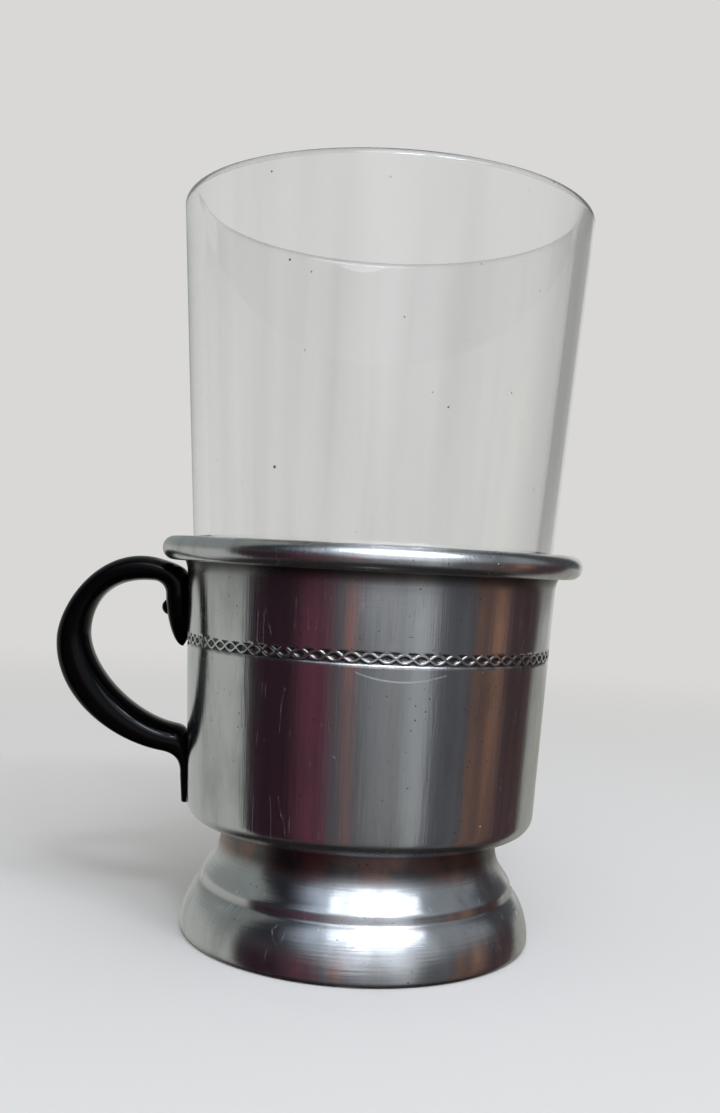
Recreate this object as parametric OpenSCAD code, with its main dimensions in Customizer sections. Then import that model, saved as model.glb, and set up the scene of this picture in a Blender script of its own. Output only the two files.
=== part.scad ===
// Tea-glass holder: a spun aluminium cup riveted to a spun foot, an ear handle riveted to the
// cup wall, and a loose tapered tumbler that stands in the cup.
// Millimetres, +Z up. The origin is on the axis, in the plane the foot rests on.
// The handle points to -X.

/* [Cup] */
// Height from the underside of the cup floor to the centre of the rolled rim
cup_h = 46.2; // [42:0.1:52]
// Outer radius of the wall, carried down to the underside of the floor
cup_r_low = 30.3; // [28.5:0.1:32]
// Outer radius of the wall at the neck, just under the rim
cup_r_neck = 32.3; // [31.5:0.1:34]
// Thickness of the cup's sheet
cup_t = 0.6; // [0.5:0.05:0.8]
// Outer radius of the corner between wall and floor
cup_corner_r = 3; // [2:0.1:4]
// Depth of the neck below the centre of the rim
neck_depth = 4.1; // [3.5:0.1:5]
// How far the neck flares out before the sheet curls over
neck_flare = 1; // [0.6:0.1:1.6]
// Diameter of the rolled rim
rim_d = 4.1; // [3.6:0.1:4.8]
// Angle through which the rim is rolled
rim_curl = 300; // [270:1:310]

/* [Ornament band] */
// Distance from the centre of the rim down to the middle of the band
band_drop = 15.2; // [12:0.1:22]
// Height of the rolled band
band_h = 2; // [1.2:0.1:3]
// Depth to which the band is rolled into the wall
band_depth = 0.15; // [0.05:0.05:0.25]

/* [Foot] */
// Height of the foot
foot_h = 19.4; // [17:0.1:24]
// Thickness of the foot's sheet
foot_t = 0.7; // [0.5:0.05:0.8]
// Radius of the straight collar under the cup
collar_r = 24.2; // [22:0.1:25]
// Height of the collar
collar_h = 2.7; // [2:0.1:4]
// Outer radius of the bend between the collar and the top plate
collar_bend_r = 0.9; // [0.85:0.05:1.5]
// Radius at the lower end of the concave flare
flare_r = 27.1; // [26:0.1:28]
// Height of the upper edge of the step
step_z = 10.1; // [9:0.1:11.5]
// Height of the step's riser
step_h = 1.5; // [1:0.1:2.5]
// How far the skirt starts outside the flare
step_out = 0.3; // [0.1:0.1:0.6]
// Outer radius of the skirt at the bottom
skirt_r = 30.5; // [29.5:0.1:33]
// Outer radius of the bend at the bottom edge
lip_bend_r = 0.9; // [0.85:0.05:1.5]
// Width of the flat lip that is turned in under the skirt
lip_w = 1.4; // [0.8:0.1:3]

/* [Handle] */
// Reach of the ear from the cup wall to its outer side
handle_reach = 23.4; // [20:0.1:28]
// Thickness of the ear under the rim
handle_t_top = 4; // [3.4:0.1:4.4]
// Thickness of the ear at its widest reach
handle_t_mid = 5.7; // [4.5:0.1:6.5]
// Height of the lower limb where it comes back to the cup
handle_t_low = 4.6; // [4:0.1:5.5]
// Width of the ear across the hand, at its two roots
handle_w_root = 8.6; // [7:0.1:10]
// Width of the ear across the hand, at its widest reach
handle_w_mid = 7.4; // [6:0.1:9]
// Distance from the centre of the rim down to the ear's shoulder
shoulder_drop = 2.2; // [2.1:0.1:3]
// Distance of the shoulder from the outer side of the rim
shoulder_out = 0.4; // [0.2:0.1:1]
// Slope at which the ear rises from its shoulder, in degrees
shoulder_slope = 15; // [8:1:18]
// Height of the widest reach above the underside of the cup floor
bulge_rise = 29.1; // [26:0.1:32]
// How much higher the ear is widest on its finger side
bulge_lift = 1.6; // [0:0.1:3]
// Height of the heel, where the lower limb turns down, above the underside of the cup floor
heel_rise = 10.4; // [9:0.1:13]
// Distance of the heel from the cup wall
heel_out = 4.6; // [4:0.1:5.5]
// Slope at which the lower limb comes down to the heel, in degrees
heel_slope = 8; // [4:1:14]
// Thickness of the upper leaf
leaf_t = 4; // [3.4:0.1:4.6]
// Width of the upper leaf
leaf_w = 8.4; // [7:0.1:8.6]
// Distance from the centre of the rim down to the bend between leaf and ear
leaf_bend_drop = 8.4; // [8:0.1:9]
// Length of the leaf from the bend to its tip
leaf_len = 9; // [7.5:0.1:12]
// How far the leaf's tip stands off the wall
leaf_lift = 1.1; // [0.6:0.1:1.4]
// Thickness of the lower tail at its squared end
tail_t = 1.05; // [0.95:0.05:1.4]
// Thickness of the lower tail under the heel
tail_root_t = 1.3; // [1.2:0.05:1.8]
// Width of the lower tail
tail_w = 7.4; // [6:0.1:8]
// Height of the tail's end above the underside of the cup floor
tail_low = 1.8; // [1.6:0.1:3]
// Length of the tail from its end to the bend under the heel
tail_len = 4.8; // [4.4:0.1:5.6]

/* [Rivets] */
// Diameter of the handle rivets' shanks
rivet_d = 2; // [1.6:0.1:2.4]
// Diameter of the formed heads inside the cup
rivet_inner_d = 3.4; // [2.8:0.1:3.8]
// Thickness of the formed heads inside the cup
rivet_inner_h = 0.3; // [0.2:0.05:0.4]
// Diameter of the domed head on the leaf
dome_d = 2.9; // [2.6:0.1:3.4]
// Height of the domed head above its seat
dome_h = 1.3; // [1:0.1:1.6]
// Depth of the flat seat that is cut into the leaf
dome_seat = 0.35; // [0.3:0.05:0.6]
// Distance from the centre of the rim down to the upper rivet
upper_rivet_drop = 10.4; // [9.5:0.1:11.5]
// Diameter of the flush head in the tail
flush_d = 3.2; // [2.8:0.1:3.6]
// Depth of the flush head's cone
flush_h = 0.5; // [0.3:0.05:0.6]
// Distance from the tail's end up to the lower rivet
lower_rivet_rise = 3; // [2.8:0.1:3.4]
// Diameter of the foot rivet's shank
foot_rivet_d = 4; // [3:0.1:5]
// Diameter of the foot rivet's two heads
foot_rivet_head_d = 9; // [7:0.1:11]
// Height of the foot rivet's two heads
foot_rivet_head_h = 1; // [0.6:0.1:1.3]

/* [Tea glass] */
// Height of the glass above the centre of the rim
glass_rise = 60.8; // [50:0.1:75]
// Thickness of the glass wall
glass_t = 2.8; // [1.8:0.1:3.4]
// Thickness of the glass base over its resting ring
glass_base_t = 4.4; // [3.6:0.1:6]
// Outer radius of the bend at the foot of the glass
glass_bend_r = 3.5; // [2.5:0.1:5]
// Inner radius of the bend at the foot of the glass
glass_inner_bend_r = 5; // [3:0.1:7]
// Width of the ring on which the glass rests
glass_ring_w = 3.5; // [2:0.1:5]
// Height of the hollow under the glass
punt_h = 2.2; // [1.8:0.1:2.6]

/* [Clearances] */
// Radial gap between glass and cup at the neck
neck_gap = 0.55; // [0.5:0.05:1]
// Radial gap between glass and cup, carried down to the cup floor
floor_gap = 1.7; // [1.4:0.1:2.5]
// Gap under the resting ring of the glass
glass_seat_gap = 0.05; // [0.02:0.01:0.1]
// Gap between the handle and what it seats on
seat_gap = 0.05; // [0.02:0.01:0.1]
// Radial gap between a rivet and its hole
rivet_gap = 0.03; // [0.02:0.01:0.06]

/* [Hidden] */
$fn = 96;
// Steps along a bend, a free curve, the curl, the ear's two curves, its leaf and its tail
bend_steps = 6;
curve_steps = 10;
curl_steps = 30;
loop_steps = 12;
leaf_steps = 8;
tail_steps = 4;
// Sides of the handle's sections
sides = 16;
// Exponent of the rounded sections: 2 is an ellipse, more is squarer
ear_exponent = 2.5;
tail_exponent = 3;
// Depth to which sections are carried inside the wall before they are trimmed to it
sink = 0.6;
// Share of the leaf's length at which its tip is cut off square
tip_share = 0.98;
// Exponents of the leaf's blunt tip and of its lift from the wall
blunt_exponent = 1.8;
part_exponent = 4;
// Slopes of the finger side under the rim and where it comes back to the cup, in degrees
arch_slope = 3;
root_slope = 8;
// Share of the ear's lower thickness at which the finger side is still clear of the wall
root_share = 0.43;
// Lengths of the tangents at both ends of the handle's curves, as shares of the chord
outer_bend_pull = [0.59, 0.39];
outer_top_pull = [0.47, 0.27];
outer_low_pull = [0.38, 0.34];
outer_heel_pull = [0.41, 0.5];
finger_bend_pull = [0.39, 0.39];
finger_top_pull = [0.58, 0.31];
finger_low_pull = [0.27, 0.36];
finger_root_pull = [0.27, 0.56];
// Shares that shape the neck, the foot's flare and its skirt
neck_share = 0.4;
flare_pull = [0.5, 0.6, 0.25];
skirt_pull = [0.5, 0.15, 0.42];
// Share of a foot rivet head's height that is its straight edge
head_edge_share = 0.4;

// Levels
floor_z = foot_h;
rim_z = floor_z + cup_h;
neck_z = rim_z - neck_depth;
floor_top_z = floor_z + cup_t;
glass_z = floor_top_z + glass_seat_gap;
mouth_z = rim_z + glass_rise;

// Cup wall: a straight taper from the floor to the neck
wall_slope = (cup_r_neck - cup_r_low)/(neck_z - floor_z);
wall_tilt = atan(wall_slope);
function wall_r(z) = cup_r_low + wall_slope*(z - floor_z);

// Rim: the sheet's inner curl has the radius curl_r about rim_c
rim_r = rim_d/2;
curl_r = rim_r - cup_t;
rim_c = [cup_r_neck + neck_flare + curl_r, rim_z];

// Glass wall: a straight taper set by its gaps to the cup at the neck and at the floor
glass_r_neck = cup_r_neck - cup_t - neck_gap;
glass_r_low = wall_r(floor_top_z) - cup_t - floor_gap;
glass_slope = (glass_r_neck - glass_r_low)/(neck_z - floor_top_z);
glass_tilt = atan(glass_slope);
function glass_r(z) = glass_r_low + glass_slope*(z - floor_top_z);

// Handle levels
leaf_bend_z = rim_z - leaf_bend_drop;
bulge_z = floor_z + bulge_rise;
heel_z = floor_z + heel_rise;
tail_end_z = floor_z + tail_low;
tail_top_z = tail_end_z + tail_len;
upper_rivet_z = rim_z - upper_rivet_drop;
lower_rivet_z = tail_end_z + lower_rivet_rise;

// Curves

function unit(v) = v/norm(v);
function left(v) = [-v[1], v[0]];
function reverse(list) = [for (i = [len(list) - 1:-1:0]) list[i]];
function mix(a, b, t) = a + (b - a)*t;
function polar(r, a) = r*[cos(a), sin(a)];

// Points of an arc about c from angle a0 to a1
function arc(c, r, a0, a1, n) = [for (i = [0:n]) c + polar(r, mix(a0, a1, i/n))];

// Point of a cubic Bezier curve, and the points along it
function bezier(p, t) =
    (1 - t)^3*p[0] + 3*(1 - t)^2*t*p[1] + 3*(1 - t)*t^2*p[2] + t^3*p[3];
function bezier_line(p, n) = [for (i = [0:n]) bezier(p, i/n)];

// Open line moved to its left by t, with mitred corners
function moved_left(line, t) = [
    for (i = [0:len(line) - 1])
        let (
            before = left(unit(line[max(i, 1)] - line[max(i, 1) - 1])),
            after = left(unit(line[min(i, len(line) - 2) + 1] - line[min(i, len(line) - 2)])),
            mid = unit(before + after)
        )
        line[i] + mid*t/(mid*after)
];

// Outline of a sheet of thickness t on the left of a line
function sheet(line, t) = concat(line, reverse(moved_left(line, t)));

// Centre of a bend of radius r between a floor at z and a wall that leaves it at radius r0
function bend_c(r0, slope, z, r) =
    let (tilt = atan(slope), up = r*(1 - sin(tilt)))
    [r0 + slope*up - r*cos(tilt), z + r];

// Cup

neck_line = bezier_line([
    [cup_r_neck, neck_z],
    [cup_r_neck, neck_z] + neck_share*neck_depth*[wall_slope, 1],
    [rim_c[0] - curl_r, rim_z - neck_share*neck_depth],
    [rim_c[0] - curl_r, rim_z],
], curve_steps);

// Rolled band: a shallow flat groove in the wall with sloping sides
band_line = [
    for (side = [[-0.5, 0], [-0.4, 1], [0.4, 1], [0.5, 0]])
        let (z = rim_z - band_drop + side[0]*band_h)
        [wall_r(z) - side[1]*band_depth, z]
];

module holder_cup() {
    corner_c = bend_c(cup_r_low, wall_slope, floor_z, cup_corner_r);
    under_line = concat(
        [[foot_rivet_d/2 + rivet_gap, floor_z]],
        arc(corner_c, cup_corner_r, -90, -wall_tilt, bend_steps),
        band_line,
        neck_line,
        [for (i = [1:curl_steps]) rim_c + polar(curl_r, 180 - rim_curl*i/curl_steps)]
    );
    color("#b9bcc2")
    difference() {
        rotate_extrude() polygon(sheet(under_line, cup_t));
        for (z = [upper_rivet_z, lower_rivet_z])
            on_wall(z) rivet_hole();
    }
}

// Foot

module foot() {
    collar_z = foot_h - collar_h;
    skirt_top = [flare_r + step_out, step_z - step_h];
    outer_line = concat(
        [[foot_rivet_d/2 + rivet_gap, foot_h]],
        arc([collar_r - collar_bend_r, foot_h - collar_bend_r], collar_bend_r, 90, 0, bend_steps),
        bezier_line([
            [collar_r, collar_z],
            [collar_r, mix(collar_z, step_z, flare_pull[0])],
            [mix(collar_r, flare_r, flare_pull[1]), mix(step_z, collar_z, flare_pull[2])],
            [flare_r, step_z],
        ], curve_steps),
        bezier_line([
            skirt_top,
            [mix(skirt_top[0], skirt_r, skirt_pull[0]), skirt_top[1]*(1 - skirt_pull[1])],
            [skirt_r, mix(lip_bend_r, skirt_top[1], skirt_pull[2])],
            [skirt_r, lip_bend_r],
        ], curve_steps),
        [for (i = [1:bend_steps])
            [skirt_r - lip_bend_r, lip_bend_r] + polar(lip_bend_r, -90*i/bend_steps)],
        [[skirt_r - lip_bend_r - lip_w, 0]]
    );
    color("#b4b7bd")
    rotate_extrude() polygon(sheet(outer_line, -foot_t));
}

// Handle

// Point at height z in the plane y = 0, at the distance out from the cup wall
function off_wall(z, out) = [-wall_r(z) - out, z];

// Curve from p to q, which leaves p along the angle a and comes to q along the angle b
function turn(p, a, q, b, pull) =
    let (chord = norm(q - p))
    [p, p + polar(pull[0]*chord, a), q - polar(pull[1]*chord, b), q];

// Closed section from a point of the outer side to one of the finger side
function section(outer, finger, width, round) = [
    for (k = [0:sides - 1])
        let (
            u = cos(360*(k + 0.5)/sides),
            v = sin(360*(k + 0.5)/sides),
            p = mix(outer, finger, (1 + sign(u)*abs(u)^(2/round))/2),
            across = width/2*sign(v)*abs(v)^(2/round)
        )
        [p[0], across, p[1]]
];

// Sections between a curve of the outer side and one of the finger side
function sections(outer, finger, w0, w1, round1, n) = [
    for (i = [1:n])
        let (s = i/n, ease = s*s*(3 - 2*s))
        section(bezier(outer, s), bezier(finger, s), mix(w0, w1, ease), mix(ear_exponent, round1, s))
];

// Solid through a row of sections
module loft(rings) {
    n = len(rings);
    walls = [
        for (i = [0:n - 2], k = [0:sides - 1])
            let (a = i*sides + k, b = i*sides + (k + 1)%sides)
            each [[a, b, a + sides], [b, b + sides, a + sides]]
    ];
    caps = [
        reverse([for (k = [0:sides - 1]) k]),
        [for (k = [0:sides - 1]) (n - 1)*sides + k],
    ];
    polyhedron([for (ring = rings) each ring], concat(walls, caps));
}

// Outer side: shoulder under the rim, widest reach, and heel above the tail
shoulder = [-rim_c[0] - rim_r - shoulder_out, rim_z - shoulder_drop];
bulge = off_wall(bulge_z, handle_reach);
heel = off_wall(heel_z, heel_out);

// Finger side: arch under the shoulder, widest reach, and root at the wall
arch = shoulder - handle_t_top*[sin(shoulder_slope), cos(shoulder_slope)];
finger_bulge = bulge + [handle_t_mid, bulge_lift];
root = off_wall(heel_z + handle_t_low, root_share*handle_t_low);

// Distances of the leaf's two sides and of the tail's outer side from the wall
function leaf_share(z) = (leaf_bend_z - z)/leaf_len;
function leaf_rise(z) = mix(leaf_lift, leaf_t, sqrt(1 - leaf_share(z)^blunt_exponent));
function leaf_back(z) = mix(-sink, leaf_lift, leaf_share(z)^part_exponent);
function tail_rise(z) = mix(tail_t, tail_root_t, (z - tail_end_z)/tail_len);

leaf = [
    for (i = [leaf_steps:-1:0])
        let (s = tip_share*i/leaf_steps, z = leaf_bend_z - s*leaf_len)
        section(off_wall(z, leaf_back(z)), off_wall(z, leaf_rise(z)), leaf_w*(1 - s*s), ear_exponent)
];
leaf_bend = sections(
    turn(off_wall(leaf_bend_z, -sink), 90, shoulder, 180 - shoulder_slope, outer_bend_pull),
    turn(off_wall(leaf_bend_z, leaf_t), 90, arch, 180 - arch_slope, finger_bend_pull),
    leaf_w, handle_w_root, ear_exponent, bend_steps
);
ear_top = sections(
    turn(shoulder, 180 - shoulder_slope, bulge, -90, outer_top_pull),
    turn(arch, 180 - arch_slope, finger_bulge, -90, finger_top_pull),
    handle_w_root, handle_w_mid, ear_exponent, loop_steps
);
ear_low = sections(
    turn(bulge, -90, heel, -heel_slope, outer_low_pull),
    turn(finger_bulge, -90, root, -root_slope, finger_low_pull),
    handle_w_mid, handle_w_root, ear_exponent, loop_steps
);
heel_bend = sections(
    turn(heel, -heel_slope, off_wall(tail_top_z, tail_root_t), -90, outer_heel_pull),
    turn(root, -root_slope, off_wall(tail_top_z, -sink), -90, finger_root_pull),
    handle_w_root, tail_w, tail_exponent, bend_steps
);
tail = [
    for (i = [1:tail_steps])
        let (z = mix(tail_top_z, tail_end_z, i/tail_steps))
        section(off_wall(z, tail_rise(z)), off_wall(z, -sink), tail_w, tail_exponent)
];

// Space taken by the cup, with the gap the handle keeps to it
module cup_space() {
    edge = concat([[wall_r(floor_z), floor_z]], neck_line);
    rotate_extrude()
        polygon(concat([[0, floor_z]], [for (p = edge) p + [seat_gap, 0]], [[0, rim_z]]));
    rotate_extrude()
        translate(rim_c)
            circle(rim_r + seat_gap);
}

module handle() {
    color("#141416")
    difference() {
        loft(concat(leaf, leaf_bend, ear_top, ear_low, heel_bend, tail));
        cup_space();
        on_wall(upper_rivet_z) {
            rivet_hole();
            translate([0, 0, dome_seat_z]) cylinder(r = dome_d/2 + rivet_gap, h = dome_h + leaf_t);
        }
        on_wall(lower_rivet_z) {
            rivet_hole();
            rotate_extrude() polygon(concat([[0, flush_z - flush_h]], flush_head(rivet_gap, tail_t)));
        }
    }
}

// Rivets

// Height of the seats above the wall
dome_seat_z = leaf_rise(upper_rivet_z) - dome_seat;
flush_z = tail_rise(lower_rivet_z)*cos(wall_tilt) - 2*seat_gap;

// Puts local +Z on the wall's outward normal, at height z on the handle's side
module on_wall(z) {
    translate([-wall_r(z), 0, z])
        rotate([0, -90 - wall_tilt, 0])
            children();
}

module rivet_hole() {
    reach = 2*leaf_t;
    translate([0, 0, -reach])
        cylinder(d = rivet_d + 2*rivet_gap, h = 2*reach);
}

// Rivet through the wall at height z: a formed head inside the cup, the shank, and an outer head
// whose outline runs from the shank to the axis
module wall_rivet(z, head) {
    inner_r = rivet_inner_d/2;
    hollow = inner_r^2/(2*(wall_r(z) - cup_t - inner_r));
    under = -cup_t - hollow - seat_gap;
    color("#18181a")
    on_wall(z)
        rotate_extrude()
            polygon(concat(
                [
                    [0, under - rivet_inner_h],
                    [inner_r, under - rivet_inner_h],
                    [inner_r, under],
                    [rivet_d/2, under],
                ],
                head
            ));
}

module upper_rivet() {
    seat = dome_seat_z + seat_gap;
    ball_r = (dome_h^2 + (dome_d/2)^2)/(2*dome_h);
    edge = asin((dome_h - ball_r)/ball_r);
    wall_rivet(upper_rivet_z, concat(
        [[rivet_d/2, seat]],
        arc([0, seat + dome_h - ball_r], ball_r, -edge, 90, bend_steps)
    ));
}

// Outline of the countersunk head, grown by gap and carried up by above
function flush_head(gap, above) = [
    [rivet_d/2 + gap, flush_z - flush_h],
    [flush_d/2 + gap, flush_z],
    [flush_d/2 + gap, flush_z + above],
    [0, flush_z + above],
];

module lower_rivet() {
    wall_rivet(lower_rivet_z, flush_head(0, seat_gap));
}

// One head's outline from the shank to the axis, above the level z
function foot_rivet_head(z, up) = [
    [foot_rivet_d/2, z],
    [foot_rivet_head_d/2, z],
    [foot_rivet_head_d/2, z + up*head_edge_share*foot_rivet_head_h],
    [foot_rivet_head_d/2 - (1 - head_edge_share)*foot_rivet_head_h, z + up*foot_rivet_head_h],
    [0, z + up*foot_rivet_head_h],
];

module foot_rivet() {
    color("#a9acb2")
    rotate_extrude()
        polygon(concat(
            foot_rivet_head(floor_top_z, 1),
            reverse(foot_rivet_head(floor_z - foot_t, -1))
        ));
}

// Tea glass

module tea_glass() {
    inner_floor_z = glass_z + glass_base_t;
    ring_r = glass_r(glass_z) - glass_bend_r;
    punt_r = ring_r - glass_ring_w;
    punt_ball_r = (punt_r^2 + punt_h^2)/(2*punt_h);
    punt_turn = asin(punt_r/punt_ball_r);
    lip_r = glass_t/2;
    lip_c = [glass_r(mouth_z - lip_r) - lip_r, mouth_z - lip_r];
    foot_c = bend_c(glass_r(glass_z), glass_slope, glass_z, glass_bend_r);
    inner_c = bend_c(glass_r(inner_floor_z) - glass_t, glass_slope, inner_floor_z, glass_inner_bend_r);
    color("#dfe8ea", 0.4)
    rotate_extrude()
        polygon(concat(
            arc([0, glass_z + punt_h - punt_ball_r], punt_ball_r, 90, 90 - punt_turn, curve_steps),
            arc(foot_c, glass_bend_r, -90, -glass_tilt, bend_steps),
            arc(lip_c, lip_r, 0, 180, 2*bend_steps),
            arc(inner_c, glass_inner_bend_r, -glass_tilt, -90, bend_steps),
            [[0, inner_floor_z]]
        ));
}

tea_glass();
holder_cup();
foot();
handle();
upper_rivet();
lower_rivet();
foot_rivet();
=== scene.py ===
"""Looks of a tea-glass holder: spun aluminium cup and foot, black enamelled ear, clear tumbler.

Sizes are millimetres in the frame of the CAD part: +Z up, the axis through the origin, the foot on
the plane z = 0 and the ear at -X. Shapes are worked out as whole arrays and put down in metres. In
the names of sizes r is a radius, d a diameter, t a thickness, w a width, h a height and z a level.
"""

import logging
from dataclasses import dataclass, field
from enum import Enum

import bpy
import numpy as np
from mathutils import Matrix, Vector

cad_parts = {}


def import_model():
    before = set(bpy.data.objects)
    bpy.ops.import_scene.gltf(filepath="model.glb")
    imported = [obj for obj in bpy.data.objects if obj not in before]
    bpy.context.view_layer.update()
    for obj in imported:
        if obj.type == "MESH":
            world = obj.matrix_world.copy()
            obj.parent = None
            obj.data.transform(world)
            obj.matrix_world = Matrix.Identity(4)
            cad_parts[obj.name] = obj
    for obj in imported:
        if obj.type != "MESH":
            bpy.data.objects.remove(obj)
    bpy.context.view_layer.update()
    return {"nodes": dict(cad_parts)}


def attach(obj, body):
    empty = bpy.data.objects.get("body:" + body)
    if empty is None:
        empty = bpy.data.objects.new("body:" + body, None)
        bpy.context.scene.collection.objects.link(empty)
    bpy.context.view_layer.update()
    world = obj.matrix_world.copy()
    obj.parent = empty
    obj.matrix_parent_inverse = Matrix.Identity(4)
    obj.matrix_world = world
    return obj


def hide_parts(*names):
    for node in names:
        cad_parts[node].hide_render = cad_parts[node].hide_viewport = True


Array = np.ndarray
Span = tuple[float, float]
LOG = logging.getLogger("tea_glass_holder")
MM = 0.001
UM = 1e-6
TINY = 1e-6


class Body(Enum):
    """CAD bodies that the pieces ride on."""

    HOLDER = "holder"
    GLASS = "glass"


class Slot(Enum):
    """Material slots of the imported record."""

    GLASS = "clear_glass"
    METAL = "spun_aluminium"
    ENAMEL = "black_enamel"


# Curves


def bezier(control: list[Array | Span], count: int) -> Array:
    """Cubic Bezier curve: (1-t)^3 a + 3(1-t)^2 t b + 3(1-t) t^2 c + t^3 d for t from 0 to 1.

    Args:
        control: the four control points.
        count: number of points, both ends included.

    Returns:
        Points as a (count, 2) array.
    """
    a, b, c, d = (np.asarray(p, float) for p in control)
    t = np.linspace(0, 1, count)[:, None]
    return (1 - t) ** 3 * a + 3 * (1 - t) ** 2 * t * b + 3 * (1 - t) * t**2 * c + t**3 * d


def rounded(p: Array, corner: Array, q: Array, count: int) -> Array:
    """Quadratic Bezier curve that rounds a corner: (1-t)^2 p + 2(1-t) t corner + t^2 q.

    Args:
        p: first point.
        corner: the corner itself.
        q: last point.
        count: number of points, both ends included.

    Returns:
        Points as a (count, 2) array.
    """
    t = np.linspace(0, 1, count)[:, None]
    return (1 - t) ** 2 * p + 2 * (1 - t) * t * corner + t**2 * q


def polar(radius: float, degrees: float) -> Array:
    """Vector of that length at that angle."""
    return radius * np.array([np.cos(np.radians(degrees)), np.sin(np.radians(degrees))])


def swept(stations: list[tuple[Array, float]], pulls: tuple[Span, ...],
          counts: tuple[int, ...]) -> list[Array]:
    """Bezier curves from station to station, tangent to each other there.

    The inner control points of each curve lie on the tangents at its ends, at shares of the chord.

    Args:
        stations: points, each with the angle of the line there in degrees.
        pulls: for each curve, the lengths of its two tangents as shares of the chord.
        counts: number of points of each curve.

    Returns:
        Points of each curve as a (count, 2) array.
    """
    curves = []
    for (p, start), (q, end), pull, count in zip(stations, stations[1:], pulls, counts):
        chord = np.linalg.norm(q - p)
        ahead, behind = polar(pull[0] * chord, start), polar(pull[1] * chord, end)
        curves.append(bezier([p, p + ahead, q - behind, q], count))
    return curves


def arc(centre: Span, radius: float, start: float, end: float, count: int) -> Array:
    """Points of an arc: centre + radius (cos a, sin a) for a from start to end, in degrees."""
    a = np.radians(np.linspace(start, end, count))
    return np.asarray(centre) + radius * np.stack([np.cos(a), np.sin(a)], axis=1)


def line(p: Span, q: Span, count: int) -> Array:
    """Evenly spaced points from p to q."""
    return np.linspace(np.asarray(p, float), np.asarray(q, float), count)


def moved_left(points: Array, distance: float) -> Array:
    """Open line moved to its left, with mitred corners.

    Each point moves along the mean normal of its two edges, by the distance over the cosine of half
    the corner's turn.

    Args:
        points: points of the line, (n, 2).
        distance: how far it moves; a negative one moves it to the right.

    Returns:
        Moved points, (n, 2).
    """
    d = np.diff(points, axis=0)
    d /= np.linalg.norm(d, axis=1, keepdims=True)
    normal = np.stack([-d[:, 1], d[:, 0]], axis=1)
    before, after = np.vstack([normal[:1], normal]), np.vstack([normal, normal[-1:]])
    mid = before + after
    mid /= np.linalg.norm(mid, axis=1, keepdims=True)
    return points + mid * distance / np.sum(mid * after, axis=1, keepdims=True)


def chained(*pieces: Array) -> Array:
    """Joins pieces of a line end to end and leaves out points that lie on the one before.

    Args:
        *pieces: points of each piece, (n, 2).

    Returns:
        Points of the whole line.
    """
    points = np.vstack(pieces)
    step = np.linalg.norm(np.diff(points, axis=0), axis=1)
    return points[np.concatenate([[True], step > TINY])]


def smoothstep(low: float, high: float, x: Array) -> Array:
    """0 at low, 1 at high and 3t^2 - 2t^3 between them; low may be the larger one."""
    t = np.clip((x - low) / (high - low), 0, 1)
    return t * t * (3 - 2 * t)


def run_length(points: Array) -> Array:
    """Distance run along a line up to each of its points."""
    step = np.linalg.norm(np.diff(points, axis=0), axis=1)
    return np.concatenate([[0.0], np.cumsum(step)])


# Skins


def ring_faces(a: int, count_a: int, b: int, count_b: int) -> Array:
    """Faces between two neighbouring rings of points.

    Rings of one size are joined by quads, a single point and a ring by a fan, and rings whose sizes
    differ by a whole factor by one polygon to each edge of the coarser ring.

    Args:
        a: index of the first ring's first point.
        count_a: number of points of the first ring.
        b: index of the second ring's first point.
        count_b: number of points of the second ring.

    Returns:
        Point indices, one face to a row.
    """
    n = min(count_a, count_b)
    if n == 1:
        n = max(count_a, count_b)
        i = np.arange(n)
        j = (i + 1) % n
        if count_a == 1:
            return np.stack([np.full(n, a), b + j, b + i], axis=1)
        return np.stack([a + i, a + j, np.full(n, b)], axis=1)
    i = np.arange(n)[:, None]
    ka, kb = count_a // n, count_b // n
    first = a + (i * ka + np.arange(ka + 1)) % count_a
    second = b + (i * kb + np.arange(kb, -1, -1)) % count_b
    return np.hstack([first, second])


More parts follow.
